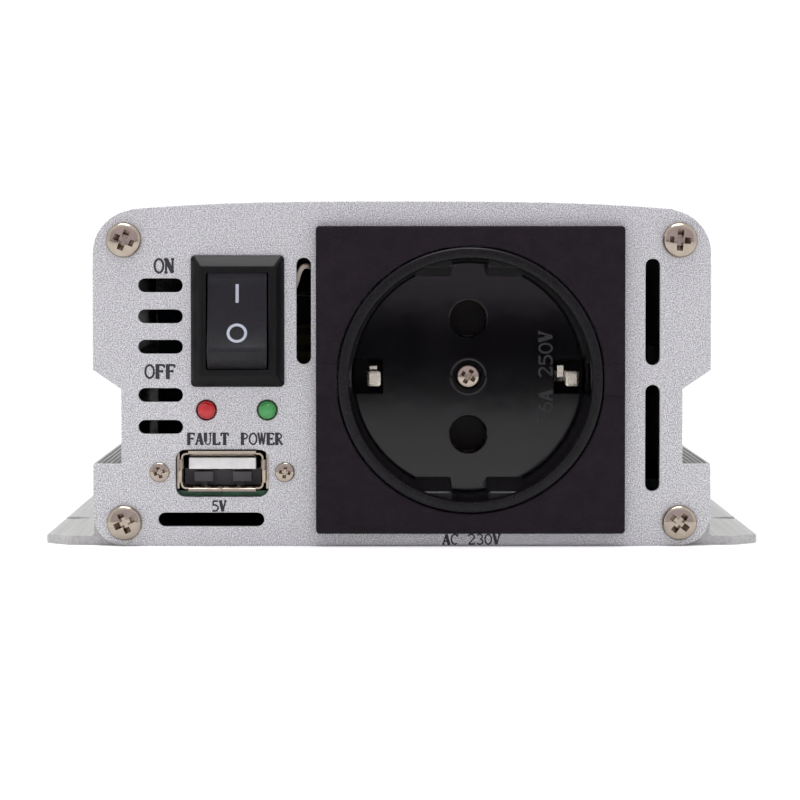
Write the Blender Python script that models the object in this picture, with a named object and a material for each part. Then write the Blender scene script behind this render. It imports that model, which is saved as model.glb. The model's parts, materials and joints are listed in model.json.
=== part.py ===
"""Power inverter: extruded case, end plates, outlet, switch, fan, input terminals and electronics.

Frame: metres, +Z up, the outlet end faces -Y. The origin is the centre of the case's flat underside.
Dimensions below are in millimetres; the mesh builders turn them into metres.
"""
import math

import bmesh
import bpy
from mathutils import Vector
from mathutils.geometry import tessellate_polygon

MM = 0.001
GAP = 0.3                      # clearance between neighbouring pieces

# Case
BODY_LENGTH = 145.0
HALF_WIDTH = 49.3
HEIGHT = 55.0
CROWN_DROP = 1.25              # fall of the crowned top towards its corners
CROWN_END = 43.3
TOP_CORNER = (42.3, 46.65)     # centre of the rounded top corner
TOP_CORNER_RADIUS = 7.0
SHOULDER_Z = 28.1
WAIST_Z = 25.05
WAIST_HALF_WIDTH = 44.8
LEDGE_Z = 13.1
FOOT_CORNER_RADIUS = 5.0
WALL = 1.8
FLANGE_HALF_WIDTH = 57.3
FLANGE_THICKNESS = 1.45
NOTCH_Y = 30.0                 # flange notches lie at plus and minus this
NOTCH_RADIUS = 2.4
NOTCH_INNER = 53.0
FLANGE_CORNER = (4.5, 5.5)     # corner cut of the flange, across and along
BOSS_X = 44.3
BOSS_LOW_Z = 3.7
BOSS_TOP_Z = 48.8
BOSS_RADIUS = 3.2
BOSS_BORE = 1.5
BOARD_GUIDE_Z = 9.0
BOARD_THICKNESS = 1.6

# End plates
PLATE_THICKNESS = 1.5
CASE_FRONT = -BODY_LENGTH / 2
CASE_REAR = BODY_LENGTH / 2
FRONT_BACK = CASE_FRONT - GAP
FRONT_Y = FRONT_BACK - PLATE_THICKNESS
REAR_INNER = CASE_REAR + GAP
REAR_Y = REAR_INNER + PLATE_THICKNESS
PLATE_SCREW_HOLE = 1.7
PLATE_SCREWS = [(side * BOSS_X, z) for z in (BOSS_LOW_Z, BOSS_TOP_Z) for side in (-1, 1)]

# Vents in the front plate: centre x, centre z, length, width
VENT_WIDTH = 2.2
SHORT_VENT_LENGTH = 7.1
SHORT_VENT_X = -38.5
SHORT_VENT_Z = (19.0, 24.1, 31.8, 36.65, 41.6)
FOOT_VENT = (-30.45, 4.2, 16.9)
TALL_VENT_LENGTH = 17.0
TALL_VENTS = [(-15.66, 37.5), (40.0, 37.35), (40.0, 17.2)]

# Rocker switch
SWITCH_X = -26.2
SWITCH_Z = 35.9
BEZEL_HALF = (7.45, 10.5)
BEZEL_BEVEL = (1.5, 1.9)
BEZEL_PROUD = 2.2
SWITCH_BODY_HALF = (6.45, 9.55)
SWITCH_BACK = FRONT_Y + 13.0
ROCKER_HALF_WIDTH = 4.75
ROCKER_WELL_HALF_WIDTH = 5.0
PIVOT_DEPTH = 4.4              # pivot behind the bezel's front
PIVOT_Y = FRONT_Y - BEZEL_PROUD + PIVOT_DEPTH
ROCKER_END_RADIUS = 8.7
ROCKER_HOLLOW = 4.95           # pivot to the middle of the dished face
ROCKER_EDGE = (6.0, 6.3)       # forward of the pivot, and to each side of it
ROCKER_TILT = -14.0            # the top half is pressed in

# Indicators
FAULT_LED_X = -31.2
POWER_LED_X = -21.5
LED_Z = 21.7
LED_RADIUS = 1.4
LED_HOLE = 1.7

# USB outlet
USB_X = -28.7
USB_Z = 11.75
USB_CUTOUT_HALF = (7.4, 3.75)
USB_CUTOUT_DROP = 0.15         # the cut-out's middle lies this far below the screws
USB_SHELL_RISE = 0.2
USB_SHELL_HALF = (6.65, 2.95)
USB_SHELL_WALL = 0.35
USB_SHELL_LENGTH = 14.0
USB_SCREW_REACH = 10.0
USB_SCREW_HOLE = 1.1

# Outlet
SOCKET_X = 10.9
SOCKET_Z = 26.55
SOCKET_HALF = (24.6, 24.5)
SOCKET_PROUD = 2.3
RIM_PROUD = 2.7
CUP_RADIUS = 21.2
RIM_INNER = 19.4
FLOOR_RADIUS = 18.9
RECESS_DEPTH = 17.5
FLOOR_THICKNESS = 3.0
RIM_Y = FRONT_Y - RIM_PROUD
FLOOR_Y = RIM_Y + RECESS_DEPTH
FLOOR_BACK = FLOOR_Y + FLOOR_THICKNESS
PIN_REACH = 9.5
PIN_HOLE = 3.0
SOCKET_BACK_DEPTH = 14.0
EARTH_SLOT_INNER = 14.1        # the earth slots run from the floor up the wall
EARTH_SLOT_OUTER = 19.7
EARTH_SLOT_HALF = 2.65
EARTH_SLOT_DEPTH = 2.5         # behind the rim
EARTH_SHIFT = 0.7              # play that the strap has taken up to the right
WIRE_SHIFT = 5.0               # the outlet's wires run beside the pin sleeves

# Fan, at the rear
FAN_X = -21.0
FAN_Z = 27.5
FAN_HALF = 20.0
FAN_DEPTH = 10.0
FAN_BORE = 18.7
FAN_REST = 28.0                # angle of the first blade at rest
FAN_SCREW_REACH = 16.0
FAN_REAR = REAR_INNER - GAP
FAN_FRONT = FAN_REAR - FAN_DEPTH

# Input terminals, at the rear
POST_Z = 28.0
RED_POST_X = 13.0
BLACK_POST_X = 35.0
STUD_RADIUS = 2.7
POST_FLANGE = (7.0, 3.5)       # radius and thickness
KNOB_LENGTH = 16.0
KNOB_RADIUS = 7.0

# Circuit board
BOARD_TOP = BOARD_GUIDE_Z - GAP
BOARD_FRONT = -40.0
BOARD_LIP_X = -12.0            # left of this the board runs on under the USB outlet
BOARD_REAR = 58.0
PART_BASE = BOARD_TOP + GAP    # where the parts on the board start


def clear_scene():
    for old in list(bpy.data.objects):
        bpy.data.objects.remove(old, do_unlink=True)


# ---------------------------------------------------------------- outlines

def arc(centre, radius, start, end, steps):
    """Points of an arc, angles in degrees, both ends included."""
    turn = [math.radians(start + (end - start) * i / steps) for i in range(steps + 1)]
    return [(centre[0] + radius * math.cos(a), centre[1] + radius * math.sin(a)) for a in turn]


def circle(centre, radius, steps):
    return arc(centre, radius, 0, 360, steps)[:-1]


def rectangle(centre, half_width, half_height, radius=0.0, steps=3):
    """A rectangle, with round corners where a radius is given."""
    if radius == 0:
        corners = [(-1, -1), (1, -1), (1, 1), (-1, 1)]
        return [(centre[0] + i * half_width, centre[1] + j * half_height) for i, j in corners]
    points = []
    for i, j, start in ((1, 1, 0), (-1, 1, 90), (-1, -1, 180), (1, -1, 270)):
        corner = (centre[0] + i * (half_width - radius), centre[1] + j * (half_height - radius))
        points += arc(corner, radius, start, start + 90, steps)
    return points


def slot(centre, length, width, upright=False, steps=5):
    """A slot with round ends."""
    reach = (length - width) / 2
    dx, dz = (0, reach) if upright else (reach, 0)
    start = 0 if upright else -90
    far = arc((centre[0] + dx, centre[1] + dz), width / 2, start, start + 180, steps)
    near = arc((centre[0] - dx, centre[1] - dz), width / 2, start + 180, start + 360, steps)
    return far + near


def mirrored(half):
    """A whole outline from its right half, which runs from bottom to top."""
    return half + [(-x, z) for x, z in reversed(half)]


def crown(x):
    """Height of the case's top at x."""
    return HEIGHT - CROWN_DROP * (abs(x) / CROWN_END) ** 3


def ribbed(start, end, count, depth):
    """Points of V grooves cut into the straight side from start to end; depth is a 2-D vector."""
    points = []
    for i in range(count):
        for part, cut in ((0.2, 0), (0.5, 1), (0.8, 0)):
            t = (i + part) / count
            points.append((start[0] + (end[0] - start[0]) * t + cut * depth[0],
                           start[1] + (end[1] - start[1]) * t + cut * depth[1]))
    return points


def upper_half(inset=0.0, side_ribs=(), top_ribs=0):
    """Right half of the case from the shoulder up, with its rounded corner and crown."""
    side = HALF_WIDTH - inset
    points = [(side, SHOULDER_Z), *side_ribs, (side, TOP_CORNER[1])]
    points += arc(TOP_CORNER, TOP_CORNER_RADIUS - inset, 10, 78, 7)
    points.append((42.0, crown(42.0) - inset))
    if top_ribs:
        for x, depth in ribbed((39.0, 0), (25.0, 0), top_ribs, (0, 0.45)):
            points.append((x, crown(x) - depth))
    else:
        points += [(x, crown(x) - inset) for x in (38.0, 33.0, 28.0)]
    points += [(x, crown(x) - inset) for x in (22.0, 15.0, 7.0)]
    return points


def plate_outline():
    half = arc((HALF_WIDTH - FOOT_CORNER_RADIUS, FOOT_CORNER_RADIUS), FOOT_CORNER_RADIUS, -90, 0, 4)
    half += [(HALF_WIDTH, LEDGE_Z), (WAIST_HALF_WIDTH, LEDGE_Z), (WAIST_HALF_WIDTH, WAIST_Z)]
    return mirrored(half + upper_half())


def case_outline():
    half = [(FLANGE_HALF_WIDTH, 0), (FLANGE_HALF_WIDTH, FLANGE_THICKNESS - 0.4)]
    half += [(FLANGE_HALF_WIDTH - 0.4, FLANGE_THICKNESS), (HALF_WIDTH + 0.5, FLANGE_THICKNESS)]
    half += [(HALF_WIDTH, FLANGE_THICKNESS + 0.5), (HALF_WIDTH, LEDGE_Z)]
    half += ribbed((HALF_WIDTH - 0.3, LEDGE_Z), (WAIST_HALF_WIDTH + 0.3, LEDGE_Z), 5, (0, -0.4))
    half += [(WAIST_HALF_WIDTH, LEDGE_Z)]
    half += ribbed((WAIST_HALF_WIDTH, 14.6), (WAIST_HALF_WIDTH, 23.6), 6, (-0.5, 0))
    half += [(WAIST_HALF_WIDTH, WAIST_Z)]
    side_ribs = ribbed((HALF_WIDTH, 31.0), (HALF_WIDTH, 43.0), 6, (-0.45, 0))
    return mirrored(half + upper_half(0.0, side_ribs, 6))


def cavity_outline():
    """Inside of the case: screw bosses in the corners and a guide for the circuit board."""
    side = HALF_WIDTH - WALL
    waist = WAIST_HALF_WIDTH - WALL
    half = [(BOSS_X - BOSS_RADIUS - 0.8, WALL)]
    half += arc((BOSS_X, BOSS_LOW_Z), BOSS_RADIUS, 200, 20, 8)
    half += [(side, BOSS_LOW_Z + 1.9), (side, BOARD_GUIDE_Z), (side - 1.5, BOARD_GUIDE_Z)]
    half += [(side - 1.5, BOARD_GUIDE_Z + 1.0), (side, BOARD_GUIDE_Z + 1.0), (side, LEDGE_Z - WALL)]
    half += [(waist, LEDGE_Z - WALL), (waist, WAIST_Z + 0.95), (side, SHOULDER_Z + 0.95)]
    half += [(side, BOSS_TOP_Z - 3.6)]
    half += arc((BOSS_X, BOSS_TOP_Z), BOSS_RADIUS, -60, -210, 8)
    half += [(x, crown(x) - WALL) for x in (40.4, 34.0, 27.0, 18.0, 8.0)]
    return mirrored(half)


def strip_outline(points, thickness):
    """Closed outline of a bent strip, from its centre line."""
    left, right = [], []
    for i, point in enumerate(points):
        before = Vector(points[max(i - 1, 0)])
        after = Vector(points[min(i + 1, len(points) - 1)])
        along = (after - before).normalized()
        normal = Vector((-along.y, along.x)) * thickness / 2
        left.append(tuple(Vector(point) + normal))
        right.append(tuple(Vector(point) - normal))
    return left + right[::-1]


# ---------------------------------------------------------------- mesh builders

def place(axis, u, v, along):
    """A profile point at a station along the axis: X takes (y, z), Y takes (x, z), Z takes (x, y)."""
    spots = {"X": (along, u, v), "Y": (u, along, v), "Z": (u, v, along)}
    return Vector(spots[axis]) * MM


def loft(near_loops, near, far_loops, far, axis="Y"):
    """A solid between two matching sets of loops; the first loop is the outside, the others are holes."""
    bm = bmesh.new()
    ends = []
    for loops, station in ((near_loops, near), (far_loops, far)):
        ends.append([[bm.verts.new(place(axis, u, v, station)) for u, v in loop] for loop in loops])
    for near_ring, far_ring in zip(*ends):
        count = len(near_ring)
        for i in range(count):
            j = (i + 1) % count
            bm.faces.new((near_ring[i], near_ring[j], far_ring[j], far_ring[i]))
    for loops, rings in ((near_loops, ends[0]), (far_loops, ends[1])):
        corners = [vert for ring in rings for vert in ring]
        flat = [[Vector((u, v, 0)) for u, v in loop] for loop in loops]
        for triangle in tessellate_polygon(flat):
            bm.faces.new([corners[i] for i in triangle])
    bmesh.ops.recalc_face_normals(bm, faces=bm.faces)
    return bm


def prism(loops, lo, hi, axis="Y"):
    return loft(loops, lo, loops, hi, axis)


def block(lo, hi):
    return prism([[(lo[0], lo[1]), (hi[0], lo[1]), (hi[0], hi[1]), (lo[0], hi[1])]], lo[2], hi[2], "Z")


def stack(sections, centre=(0, 0)):
    """A solid through rectangles along Y, each given as (y, half width, half height)."""
    bm = bmesh.new()
    rings = []
    for y, half_width, half_height in sections:
        ring = rectangle(centre, half_width, half_height)
        rings.append([bm.verts.new(place("Y", x, z, y)) for x, z in ring])
    for near, far in zip(rings, rings[1:]):
        for i in range(4):
            j = (i + 1) % 4
            bm.faces.new((near[i], near[j], far[j], far[i]))
    bm.faces.new(rings[0])
    bm.faces.new(rings[-1])
    bmesh.ops.recalc_face_normals(bm, faces=bm.faces)
    return bm


def turned(profile, steps, axis="Y", hollow=False):
    """A turned solid from (radius, station) points; a hollow one has a closed profile off the axis."""
    bm = bmesh.new()
    rings = []
    for radius, station in profile:
        if radius == 0:
            rings.append([bm.verts.new(place(axis, 0, 0, station))])
        else:
            ring = circle((0, 0), radius, steps)
            rings.append([bm.verts.new(place(axis, u, v, station)) for u, v in ring])
    pairs = list(zip(rings, rings[1:]))
    if hollow:
        pairs.append((rings[-1], rings[0]))
    for near, far in pairs:
        for i in range(steps):
            j = (i + 1) % steps
            corners = [near[i % len(near)], near[j % len(near)], far[j % len(far)], far[i % len(far)]]
            bm.faces.new(list(dict.fromkeys(corners)))
    bmesh.ops.recalc_face_normals(bm, faces=bm.faces)
    return bm


def joined(meshes):
    """Several closed meshes as one, for a cutter or for a Boolean union."""
    whole = meshes[0]
    for other in meshes[1:]:
        piece = bpy.data.meshes.new("piece")
        other.to_mesh(piece)
        other.free()
        whole.from_mesh(piece)
        bpy.data.meshes.remove(piece)
    return whole


# ---------------------------------------------------------------- objects and materials

def material(name, color, roughness, metallic=0.0):
    found = bpy.data.materials.get(name)
    if found:
        return found
    made = bpy.data.materials.new(name)
    made.use_nodes = True
    shader = made.node_tree.nodes["Principled BSDF"]
    shader.inputs["Base Color"].default_value = (*color, 1.0)
    shader.inputs["Roughness"].default_value = roughness
    shader.inputs["Metallic"].default_value = metallic
    made.diffuse_color = (*color, 1.0)
    return made


def silver_plate():
    return material("sand_blasted_aluminium", (0.56, 0.56, 0.58), 0.5, 0.85)


def extruded_metal():
    return material("extruded_aluminium", (0.60, 0.60, 0.61), 0.4, 0.9)


def nickel():
    return material("nickel", (0.62, 0.58, 0.52), 0.25, 1.0)


def brass():
    return material("brass", (0.65, 0.48, 0.22), 0.3, 1.0)


def black_plastic():
    return material("black_plastic", (0.014, 0.014, 0.015), 0.35)


def matt_black_plastic():
    return material("matt_black_plastic", (0.022, 0.020, 0.023), 0.6)


def add(name, bm, look, location=(0, 0, 0), smooth=None):
    """Make one object from a mesh, at a place in millimetres."""
    mesh = bpy.data.meshes.new(name)
    bm.to_mesh(mesh)
    bm.free()
    if smooth:
        mesh.shade_smooth()
        mesh.set_sharp_from_angle(angle=math.radians(smooth))
    if look:
        mesh.materials.append(look)
    made = bpy.data.objects.new(name, mesh)
    made.location = Vector(location) * MM
    bpy.context.scene.collection.objects.link(made)
    return made


def shape_with(target, name, bm, operation, location=(0, 0, 0)):
    """Cut a hidden shape out of an object, or join it on; the shape moves with the object."""
    cutter = add(name, bm, None, location)
    cutter.parent = target
    cutter.hide_render = True
    cutter.display_type = "WIRE"
    change = target.modifiers.new(name, "BOOLEAN")
    change.operation = operation
    change.solver = "EXACT"
    change.object = cutter


def pan_screw(name, head_radius, head_height, shank_radius, shank_length, where, facing):
    """A pan-head screw whose head rests at where and points along Y: facing is -1 or 1."""
    profile = [(0, head_height), (0.55 * head_radius, 0.9 * head_height)]
    profile += [(0.9 * head_radius, 0.5 * head_height)]
    profile += [(head_radius, 0), (shank_radius, 0), (shank_radius, -shank_length), (0, -shank_length)]
    return add(name, turned([(r, y * facing) for r, y in profile], 12), nickel(), where, 40)


def wire(name, points, radius, look):
    """A round lead through points in millimetres, smoothed into one curve."""
    curve = bpy.data.curves.new(name, "CURVE")
    curve.dimensions = "3D"
    curve.bevel_depth = radius * MM
    curve.bevel_resolution = 2
    curve.use_fill_caps = True
    knots = [Vector(p) for p in points]
    knots = [2 * knots[0] - knots[1], *knots, 2 * knots[-1] - knots[-2]]
    path = []
    for a, b, c, d in zip(knots, knots[1:], knots[2:], knots[3:]):
        for i in range(4):
            t = i / 4
            path.append(0.5 * (2 * b + (c - a) * t + (2 * a - 5 * b + 4 * c - d) * t ** 2
                               + (3 * b - a - 3 * c + d) * t ** 3))
    path.append(knots[-2])
    spline = curve.splines.new("POLY")
    spline.points.add(len(path) - 1)
    for spot, point in zip(spline.points, path):
        spot.co = (*(point * MM), 1.0)
    curve.materials.append(look)
    made = bpy.data.objects.new(name, curve)
    bpy.context.scene.collection.objects.link(made)


# ---------------------------------------------------------------- case and end plates

def make_case():
    bores = [circle(spot, BOSS_BORE, 10) for spot in PLATE_SCREWS]
    loops = [case_outline(), cavity_outline(), *bores]
    case = add("body_extrusion", prism(loops, CASE_FRONT, CASE_REAR), extruded_metal(), smooth=25)
    cuts = []
    for side in (-1, 1):
        for end in (-1, 1):
            cuts.append(flange_notch(side, end * NOTCH_Y))
            cuts.append(flange_corner(side, end))
    shape_with(case, "flange_cuts", joined(cuts), "DIFFERENCE")


def flange_notch(side, y):
    """Open notch that a screw slides into from the flange's edge."""
    centre = NOTCH_INNER + NOTCH_RADIUS
    outer = FLANGE_HALF_WIDTH + 1
    half = arc((centre, y), NOTCH_RADIUS, 90, 270, 8)
    outline = [*half, (outer, y - NOTCH_RADIUS), (outer, y + NOTCH_RADIUS)]
    return prism([[(side * x, v) for x, v in outline]], -1, FLANGE_THICKNESS + 1, "Z")


def flange_corner(side, end):
    """Sloping cut across the flange's corner."""
    across, along = FLANGE_CORNER
    outer = FLANGE_HALF_WIDTH + 1
    tip = end * (CASE_REAR + 1)
    near = end * (CASE_REAR - along)
    outline = [(FLANGE_HALF_WIDTH - across, tip), (outer, tip), (outer, near)]
    outline += [(FLANGE_HALF_WIDTH, near), (FLANGE_HALF_WIDTH - across, end * CASE_REAR)]
    return prism([[(side * x, v) for x, v in outline]], -1, FLANGE_THICKNESS + 1, "Z")


def make_front_plate():
    holes = [circle(spot, PLATE_SCREW_HOLE, 12) for spot in PLATE_SCREWS]
    holes += [slot((SHORT_VENT_X, z), SHORT_VENT_LENGTH, VENT_WIDTH) for z in SHORT_VENT_Z]
    holes.append(slot(FOOT_VENT[:2], FOOT_VENT[2], VENT_WIDTH))
    holes += [slot(spot, TALL_VENT_LENGTH, VENT_WIDTH + 0.1, upright=True) for spot in TALL_VENTS]
    holes.append(rectangle((SWITCH_X, SWITCH_Z), SWITCH_BODY_HALF[0] + GAP, SWITCH_BODY_HALF[1] + GAP))
    holes += [circle((x, LED_Z), LED_HOLE, 12) for x in (FAULT_LED_X, POWER_LED_X)]
    holes.append(rectangle((USB_X, USB_Z - USB_CUTOUT_DROP), *USB_CUTOUT_HALF, 1.5))
    holes += [circle((USB_X + side * USB_SCREW_REACH, USB_Z), USB_SCREW_HOLE, 8) for side in (-1, 1)]
    holes.append(rectangle((SOCKET_X, SOCKET_Z), CUP_RADIUS + GAP, CUP_RADIUS + GAP, 4.0))
    add("front_plate", prism([plate_outline(), *holes], FRONT_Y, FRONT_BACK), silver_plate(), smooth=25)


def make_rear_plate():
    holes = [circle(spot, PLATE_SCREW_HOLE, 12) for spot in PLATE_SCREWS]
    holes += [circle((x, POST_Z), 4.0, 20) for x in (RED_POST_X, BLACK_POST_X)]
    for i in (-1, 1):
        for j in (-1, 1):
            centre = (FAN_X + i * FAN_SCREW_REACH, FAN_Z + j * FAN_SCREW_REACH)
            holes.append(circle(centre, PLATE_SCREW_HOLE, 12))
    for row in range(-3, 4):
        rise = 4.6 * row
        reach = math.sqrt(17.5 ** 2 - rise ** 2)
        holes.append(slot((FAN_X, FAN_Z + rise), 2 * reach, 2.6))
    add("rear_plate", prism([plate_outline(), *holes], REAR_INNER, REAR_Y), silver_plate(), smooth=25)


def make_plate_screws():
    corners = ("lower_left", "lower_right", "upper_left", "upper_right")
    for corner, (x, z) in zip(corners, PLATE_SCREWS):
        pan_screw("front_screw_" + corner, 2.85, 1.9, 1.2, 8.0, (x, FRONT_Y - GAP, z), -1)
        pan_screw("rear_screw_" + corner, 2.85, 1.9, 1.2, 8.0, (x, REAR_Y + GAP, z), 1)


# ---------------------------------------------------------------- rocker switch

def make_switch_housing():
    front = FRONT_Y - BEZEL_PROUD
    seat = FRONT_Y - GAP
    sections = [(front, BEZEL_HALF[0] - BEZEL_BEVEL[0], BEZEL_HALF[1] - BEZEL_BEVEL[1])]
    sections += [(seat - 0.4, *BEZEL_HALF), (seat, *BEZEL_HALF)]
    sections += [(seat, *SWITCH_BODY_HALF), (SWITCH_BACK, *SWITCH_BODY_HALF)]
    housing = add("switch_housing", stack(sections, (SWITCH_X, SWITCH_Z)), black_plastic())
    clearance = ROCKER_END_RADIUS + 0.25
    level = math.degrees(math.asin(PIVOT_DEPTH / clearance))
    well = [(-y, z) for z, y in arc((0, 0), clearance, level, 0, 4)]
    well = [(-PIVOT_DEPTH - 1, well[0][1]), *well, (4.8, clearance)]
    outline = well + [(y, -z) for y, z in reversed(well)]
    half = ROCKER_WELL_HALF_WIDTH
    pivot = (SWITCH_X, PIVOT_Y, SWITCH_Z)
    shape_with(housing, "rocker_well", prism([outline], -half, half, "X"), "DIFFERENCE", pivot)
    shape_with(housing, "pivot_holes", prism([circle((0, 0), 1.3, 16)], -8, 8, "X"), "DIFFERENCE", pivot)


def rocker_outline():
    """Side view about the pivot: dished face, round ends and a narrow foot."""
    forward, reach = ROCKER_EDGE
    face = []
    for i in range(-4, 5):
        t = i / 4
        face.append((-(ROCKER_HOLLOW + (forward - ROCKER_HOLLOW) * t * t), reach * t))
    start = math.degrees(math.atan2(forward, reach))
    ends = [math.radians(start + (10 - start) * i / 5) for i in range(1, 6)]
    top = [(-ROCKER_END_RADIUS * math.sin(a), ROCKER_END_RADIUS * math.cos(a)) for a in ends]
    foot = [(0.8, 7.4), (3.0, 2.5)]
    upper = top + foot
    return face + upper + [(y, -z) for y, z in reversed(upper)]


def make_rocker():
    rocker = add("switch_rocker", prism([rocker_outline()], -ROCKER_HALF_WIDTH, ROCKER_HALF_WIDTH, "X"),
                 black_plastic(), (SWITCH_X, PIVOT_Y, SWITCH_Z), 25)
    rocker.rotation_euler = (math.radians(ROCKER_TILT), 0, 0)
    reach = ROCKER_WELL_HALF_WIDTH + 1.0
    shape_with(rocker, "pivot_pin", prism([circle((0, 0), 1.0, 16)], -reach, reach, "X"), "UNION")


def make_switch_terminals():
    for name, z in (("switch_terminal_in", SWITCH_Z + 4.0), ("switch_terminal_out", SWITCH_Z - 4.0)):
        blade = block((-2.4, 0, -0.4), (2.4, 8.0, 0.4))
        add(name, blade, brass(), (SWITCH_X, SWITCH_BACK + GAP, z))


# ---------------------------------------------------------------- indicators and USB outlet

def make_indicators():
    red, green = (0.55, 0.03, 0.03), (0.07, 0.40, 0.10)
    for name, x, color in (("led_fault", FAULT_LED_X, red), ("led_power", POWER_LED_X, green)):
        dome = [(LED_RADIUS * math.sin(a), -LED_RADIUS * math.cos(a))
                for a in (math.radians(20 * i) for i in range(5))]
        flange = FRONT_BACK - FRONT_Y + GAP + 0.5
        profile = [*dome, (LED_RADIUS, flange), (1.9, flange), (1.9, flange + 1), (LED_RADIUS, flange + 1)]
        profile += [(LED_RADIUS, flange + 3), (0, flange + 3)]
        add(name, turned(profile, 14), material(name, color, 0.25), (x, FRONT_Y + 0.5, LED_Z), 40)


def make_usb_outlet():
    half_width, half_height = USB_SHELL_HALF
    inner = (half_width - USB_SHELL_WALL, half_height - USB_SHELL_WALL)
    loops = [rectangle((0, 0), half_width, half_height, 0.7), rectangle((0, 0), *inner, 0.4)]
    front = FRONT_Y - GAP
    centre = (USB_X, front, USB_Z + USB_SHELL_RISE)
    add("usb_shell", prism(loops, 0, USB_SHELL_LENGTH), nickel(), centre, 40)
    white = material("white_plastic", (0.75, 0.75, 0.73), 0.4)
    outline = [(1.0, 0.25), (10.5, 0.25), (10.5, -2.2), (USB_SHELL_LENGTH, -2.2)]
    outline += [(USB_SHELL_LENGTH, 2.1), (1.0, 2.1)]
    add("usb_tongue", prism([outline], -5.4, 5.4, "X"), white, centre)
    side_x = half_width + GAP
    top = half_height + USB_SHELL_RISE + GAP
    foot = BOARD_TOP + GAP - USB_Z
    half = [(12.5, foot), (12.5, top + 1.0)]
    outline = [*half, *[(-x, z) for x, z in reversed(half)]]
    outline += [(-side_x, foot), (-side_x, top), (side_x, top), (side_x, foot)]
    holes = [circle((side * USB_SCREW_REACH, 0), USB_SCREW_HOLE, 8) for side in (-1, 1)]
    add("usb_bracket", prism([outline, *holes], 0, 1.2), nickel(), (USB_X, FRONT_BACK + 1.0, USB_Z))
    for name, side in (("usb_screw_left", -1), ("usb_screw_right", 1)):
        where = (USB_X + side * USB_SCREW_REACH, FRONT_Y - GAP, USB_Z)
        pan_screw(name, 1.6, 1.1, 0.8, 6.0, where, -1)


# ---------------------------------------------------------------- outlet

def make_socket_faceplate():
    loops = [rectangle((0, 0), *SOCKET_HALF, 0.6, 2), circle((0, 0), CUP_RADIUS + GAP, 48)]
    plate = prism(loops, FRONT_Y - SOCKET_PROUD, FRONT_Y - GAP)
    add("socket_faceplate", plate, matt_black_plastic(), (SOCKET_X, 0, SOCKET_Z), 30)


def guide_block(side, end):
    """One of the four blocks in the recess that guide a plug; its inner face leans in towards the floor."""
    near_x, far_x = 2.8, 8.6
    radius = (FLOOR_RADIUS + CUP_RADIUS) / 2 + 0.15

    def outline(inner):
        sweep = [near_x + (far_x - near_x) * i / 4 for i in range(4, -1, -1)]
        points = [(near_x, inner), (far_x, inner)]
        points += [(x, math.sqrt(radius ** 2 - x ** 2)) for x in sweep]
        return [(side * x, end * z) for x, z in points]

    return loft([outline(17.9)], RIM_Y + 1.5, [outline(16.3)], FLOOR_Y + 0.5)


def make_socket_cup():
    profile = [(0, FLOOR_Y), (FLOOR_RADIUS, FLOOR_Y), (RIM_INNER, RIM_Y), (CUP_RADIUS, RIM_Y)]
    profile += [(CUP_RADIUS, FLOOR_BACK), (0, FLOOR_BACK)]
    cup = add("socket_cup", turned(profile, 48), black_plastic(), (SOCKET_X, 0, SOCKET_Z), 30)
    guides = [guide_block(side, end) for side in (-1, 1) for end in (-1, 1)]
    shape_with(cup, "guide_blocks", joined(guides), "UNION")
    past_front, past_back = FLOOR_Y - 1, FLOOR_BACK + 1
    cuts = [prism([circle((0, end * PIN_REACH), PIN_HOLE, 24)], past_front, past_back) for end in (-1, 1)]
    for side in (-1, 1):
        near, far = sorted((side * EARTH_SLOT_INNER, side * EARTH_SLOT_OUTER))
        low = (near, RIM_Y + EARTH_SLOT_DEPTH, -EARTH_SLOT_HALF)
        cuts.append(block(low, (far, past_back, EARTH_SLOT_HALF)))
    counterbore = [(0, past_front), (2.65, past_front), (2.65, FLOOR_Y + 1.8), (1.7, FLOOR_Y + 1.8)]
    cuts.append(turned([*counterbore, (1.7, past_back), (0, past_back)], 20))
    shape_with(cup, "floor_openings", joined(cuts), "DIFFERENCE")


def make_socket_back():
    """Rear housing of the outlet, open towards the cup, with a hole for each wire."""
    front = FLOOR_BACK + GAP
    back = front + SOCKET_BACK_DEPTH
    radius = CUP_RADIUS - 0.2
    profile = [(0, back - 2), (radius - 1.6, back - 2), (radius - 1.6, front), (radius, front)]
    profile += [(radius, back), (0, back)]
    housing = add("socket_back", turned(profile, 32), black_plastic(), (SOCKET_X, 0, SOCKET_Z), 30)
    spots = [(-end * WIRE_SHIFT, end * PIN_REACH) for end in (-1, 1)]
    holes = [prism([circle(spot, 1.6, 12)], back - 3, back + 1) for spot in spots]
    shape_with(housing, "wire_holes", joined(holes), "DIFFERENCE")


def make_socket_contacts():
    front = FLOOR_BACK + GAP
    for name, end in (("live_sleeve", 1), ("neutral_sleeve", -1)):
        loops = [rectangle((0, 0), 3.6, 3.6), rectangle((0, 0), 3.05, 3.05)]
        add(name, prism(loops, front, front + 9.7), brass(), (SOCKET_X, 0, SOCKET_Z + end * PIN_REACH))
    base = FLOOR_BACK + 1.0
    half = [(1.0, base), (15.2, base), (15.9, base - 1.0), (16.4, FLOOR_Y - 4.5), (15.0, FLOOR_Y - 9.5)]
    half += [(16.0, FLOOR_Y - 12.0)]
    line = [(-x, y) for x, y in reversed(half)] + half
    where = (SOCKET_X + EARTH_SHIFT, 0, SOCKET_Z)
    strap = add("earth_strap", prism([strip_outline(line, 0.8)], -2.2, 2.2, "Z"), nickel(), where)
    screw_hole = prism([circle((-EARTH_SHIFT, 0), 1.7, 12)], base - 2, base + 2)
    shape_with(strap, "screw_hole", screw_hole, "DIFFERENCE")
    where = (SOCKET_X, FLOOR_Y + 1.5, SOCKET_Z)
    pan_screw("socket_screw", 1.98, 1.4, 1.3, 10.0, where, -1)


# ---------------------------------------------------------------- fan

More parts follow.
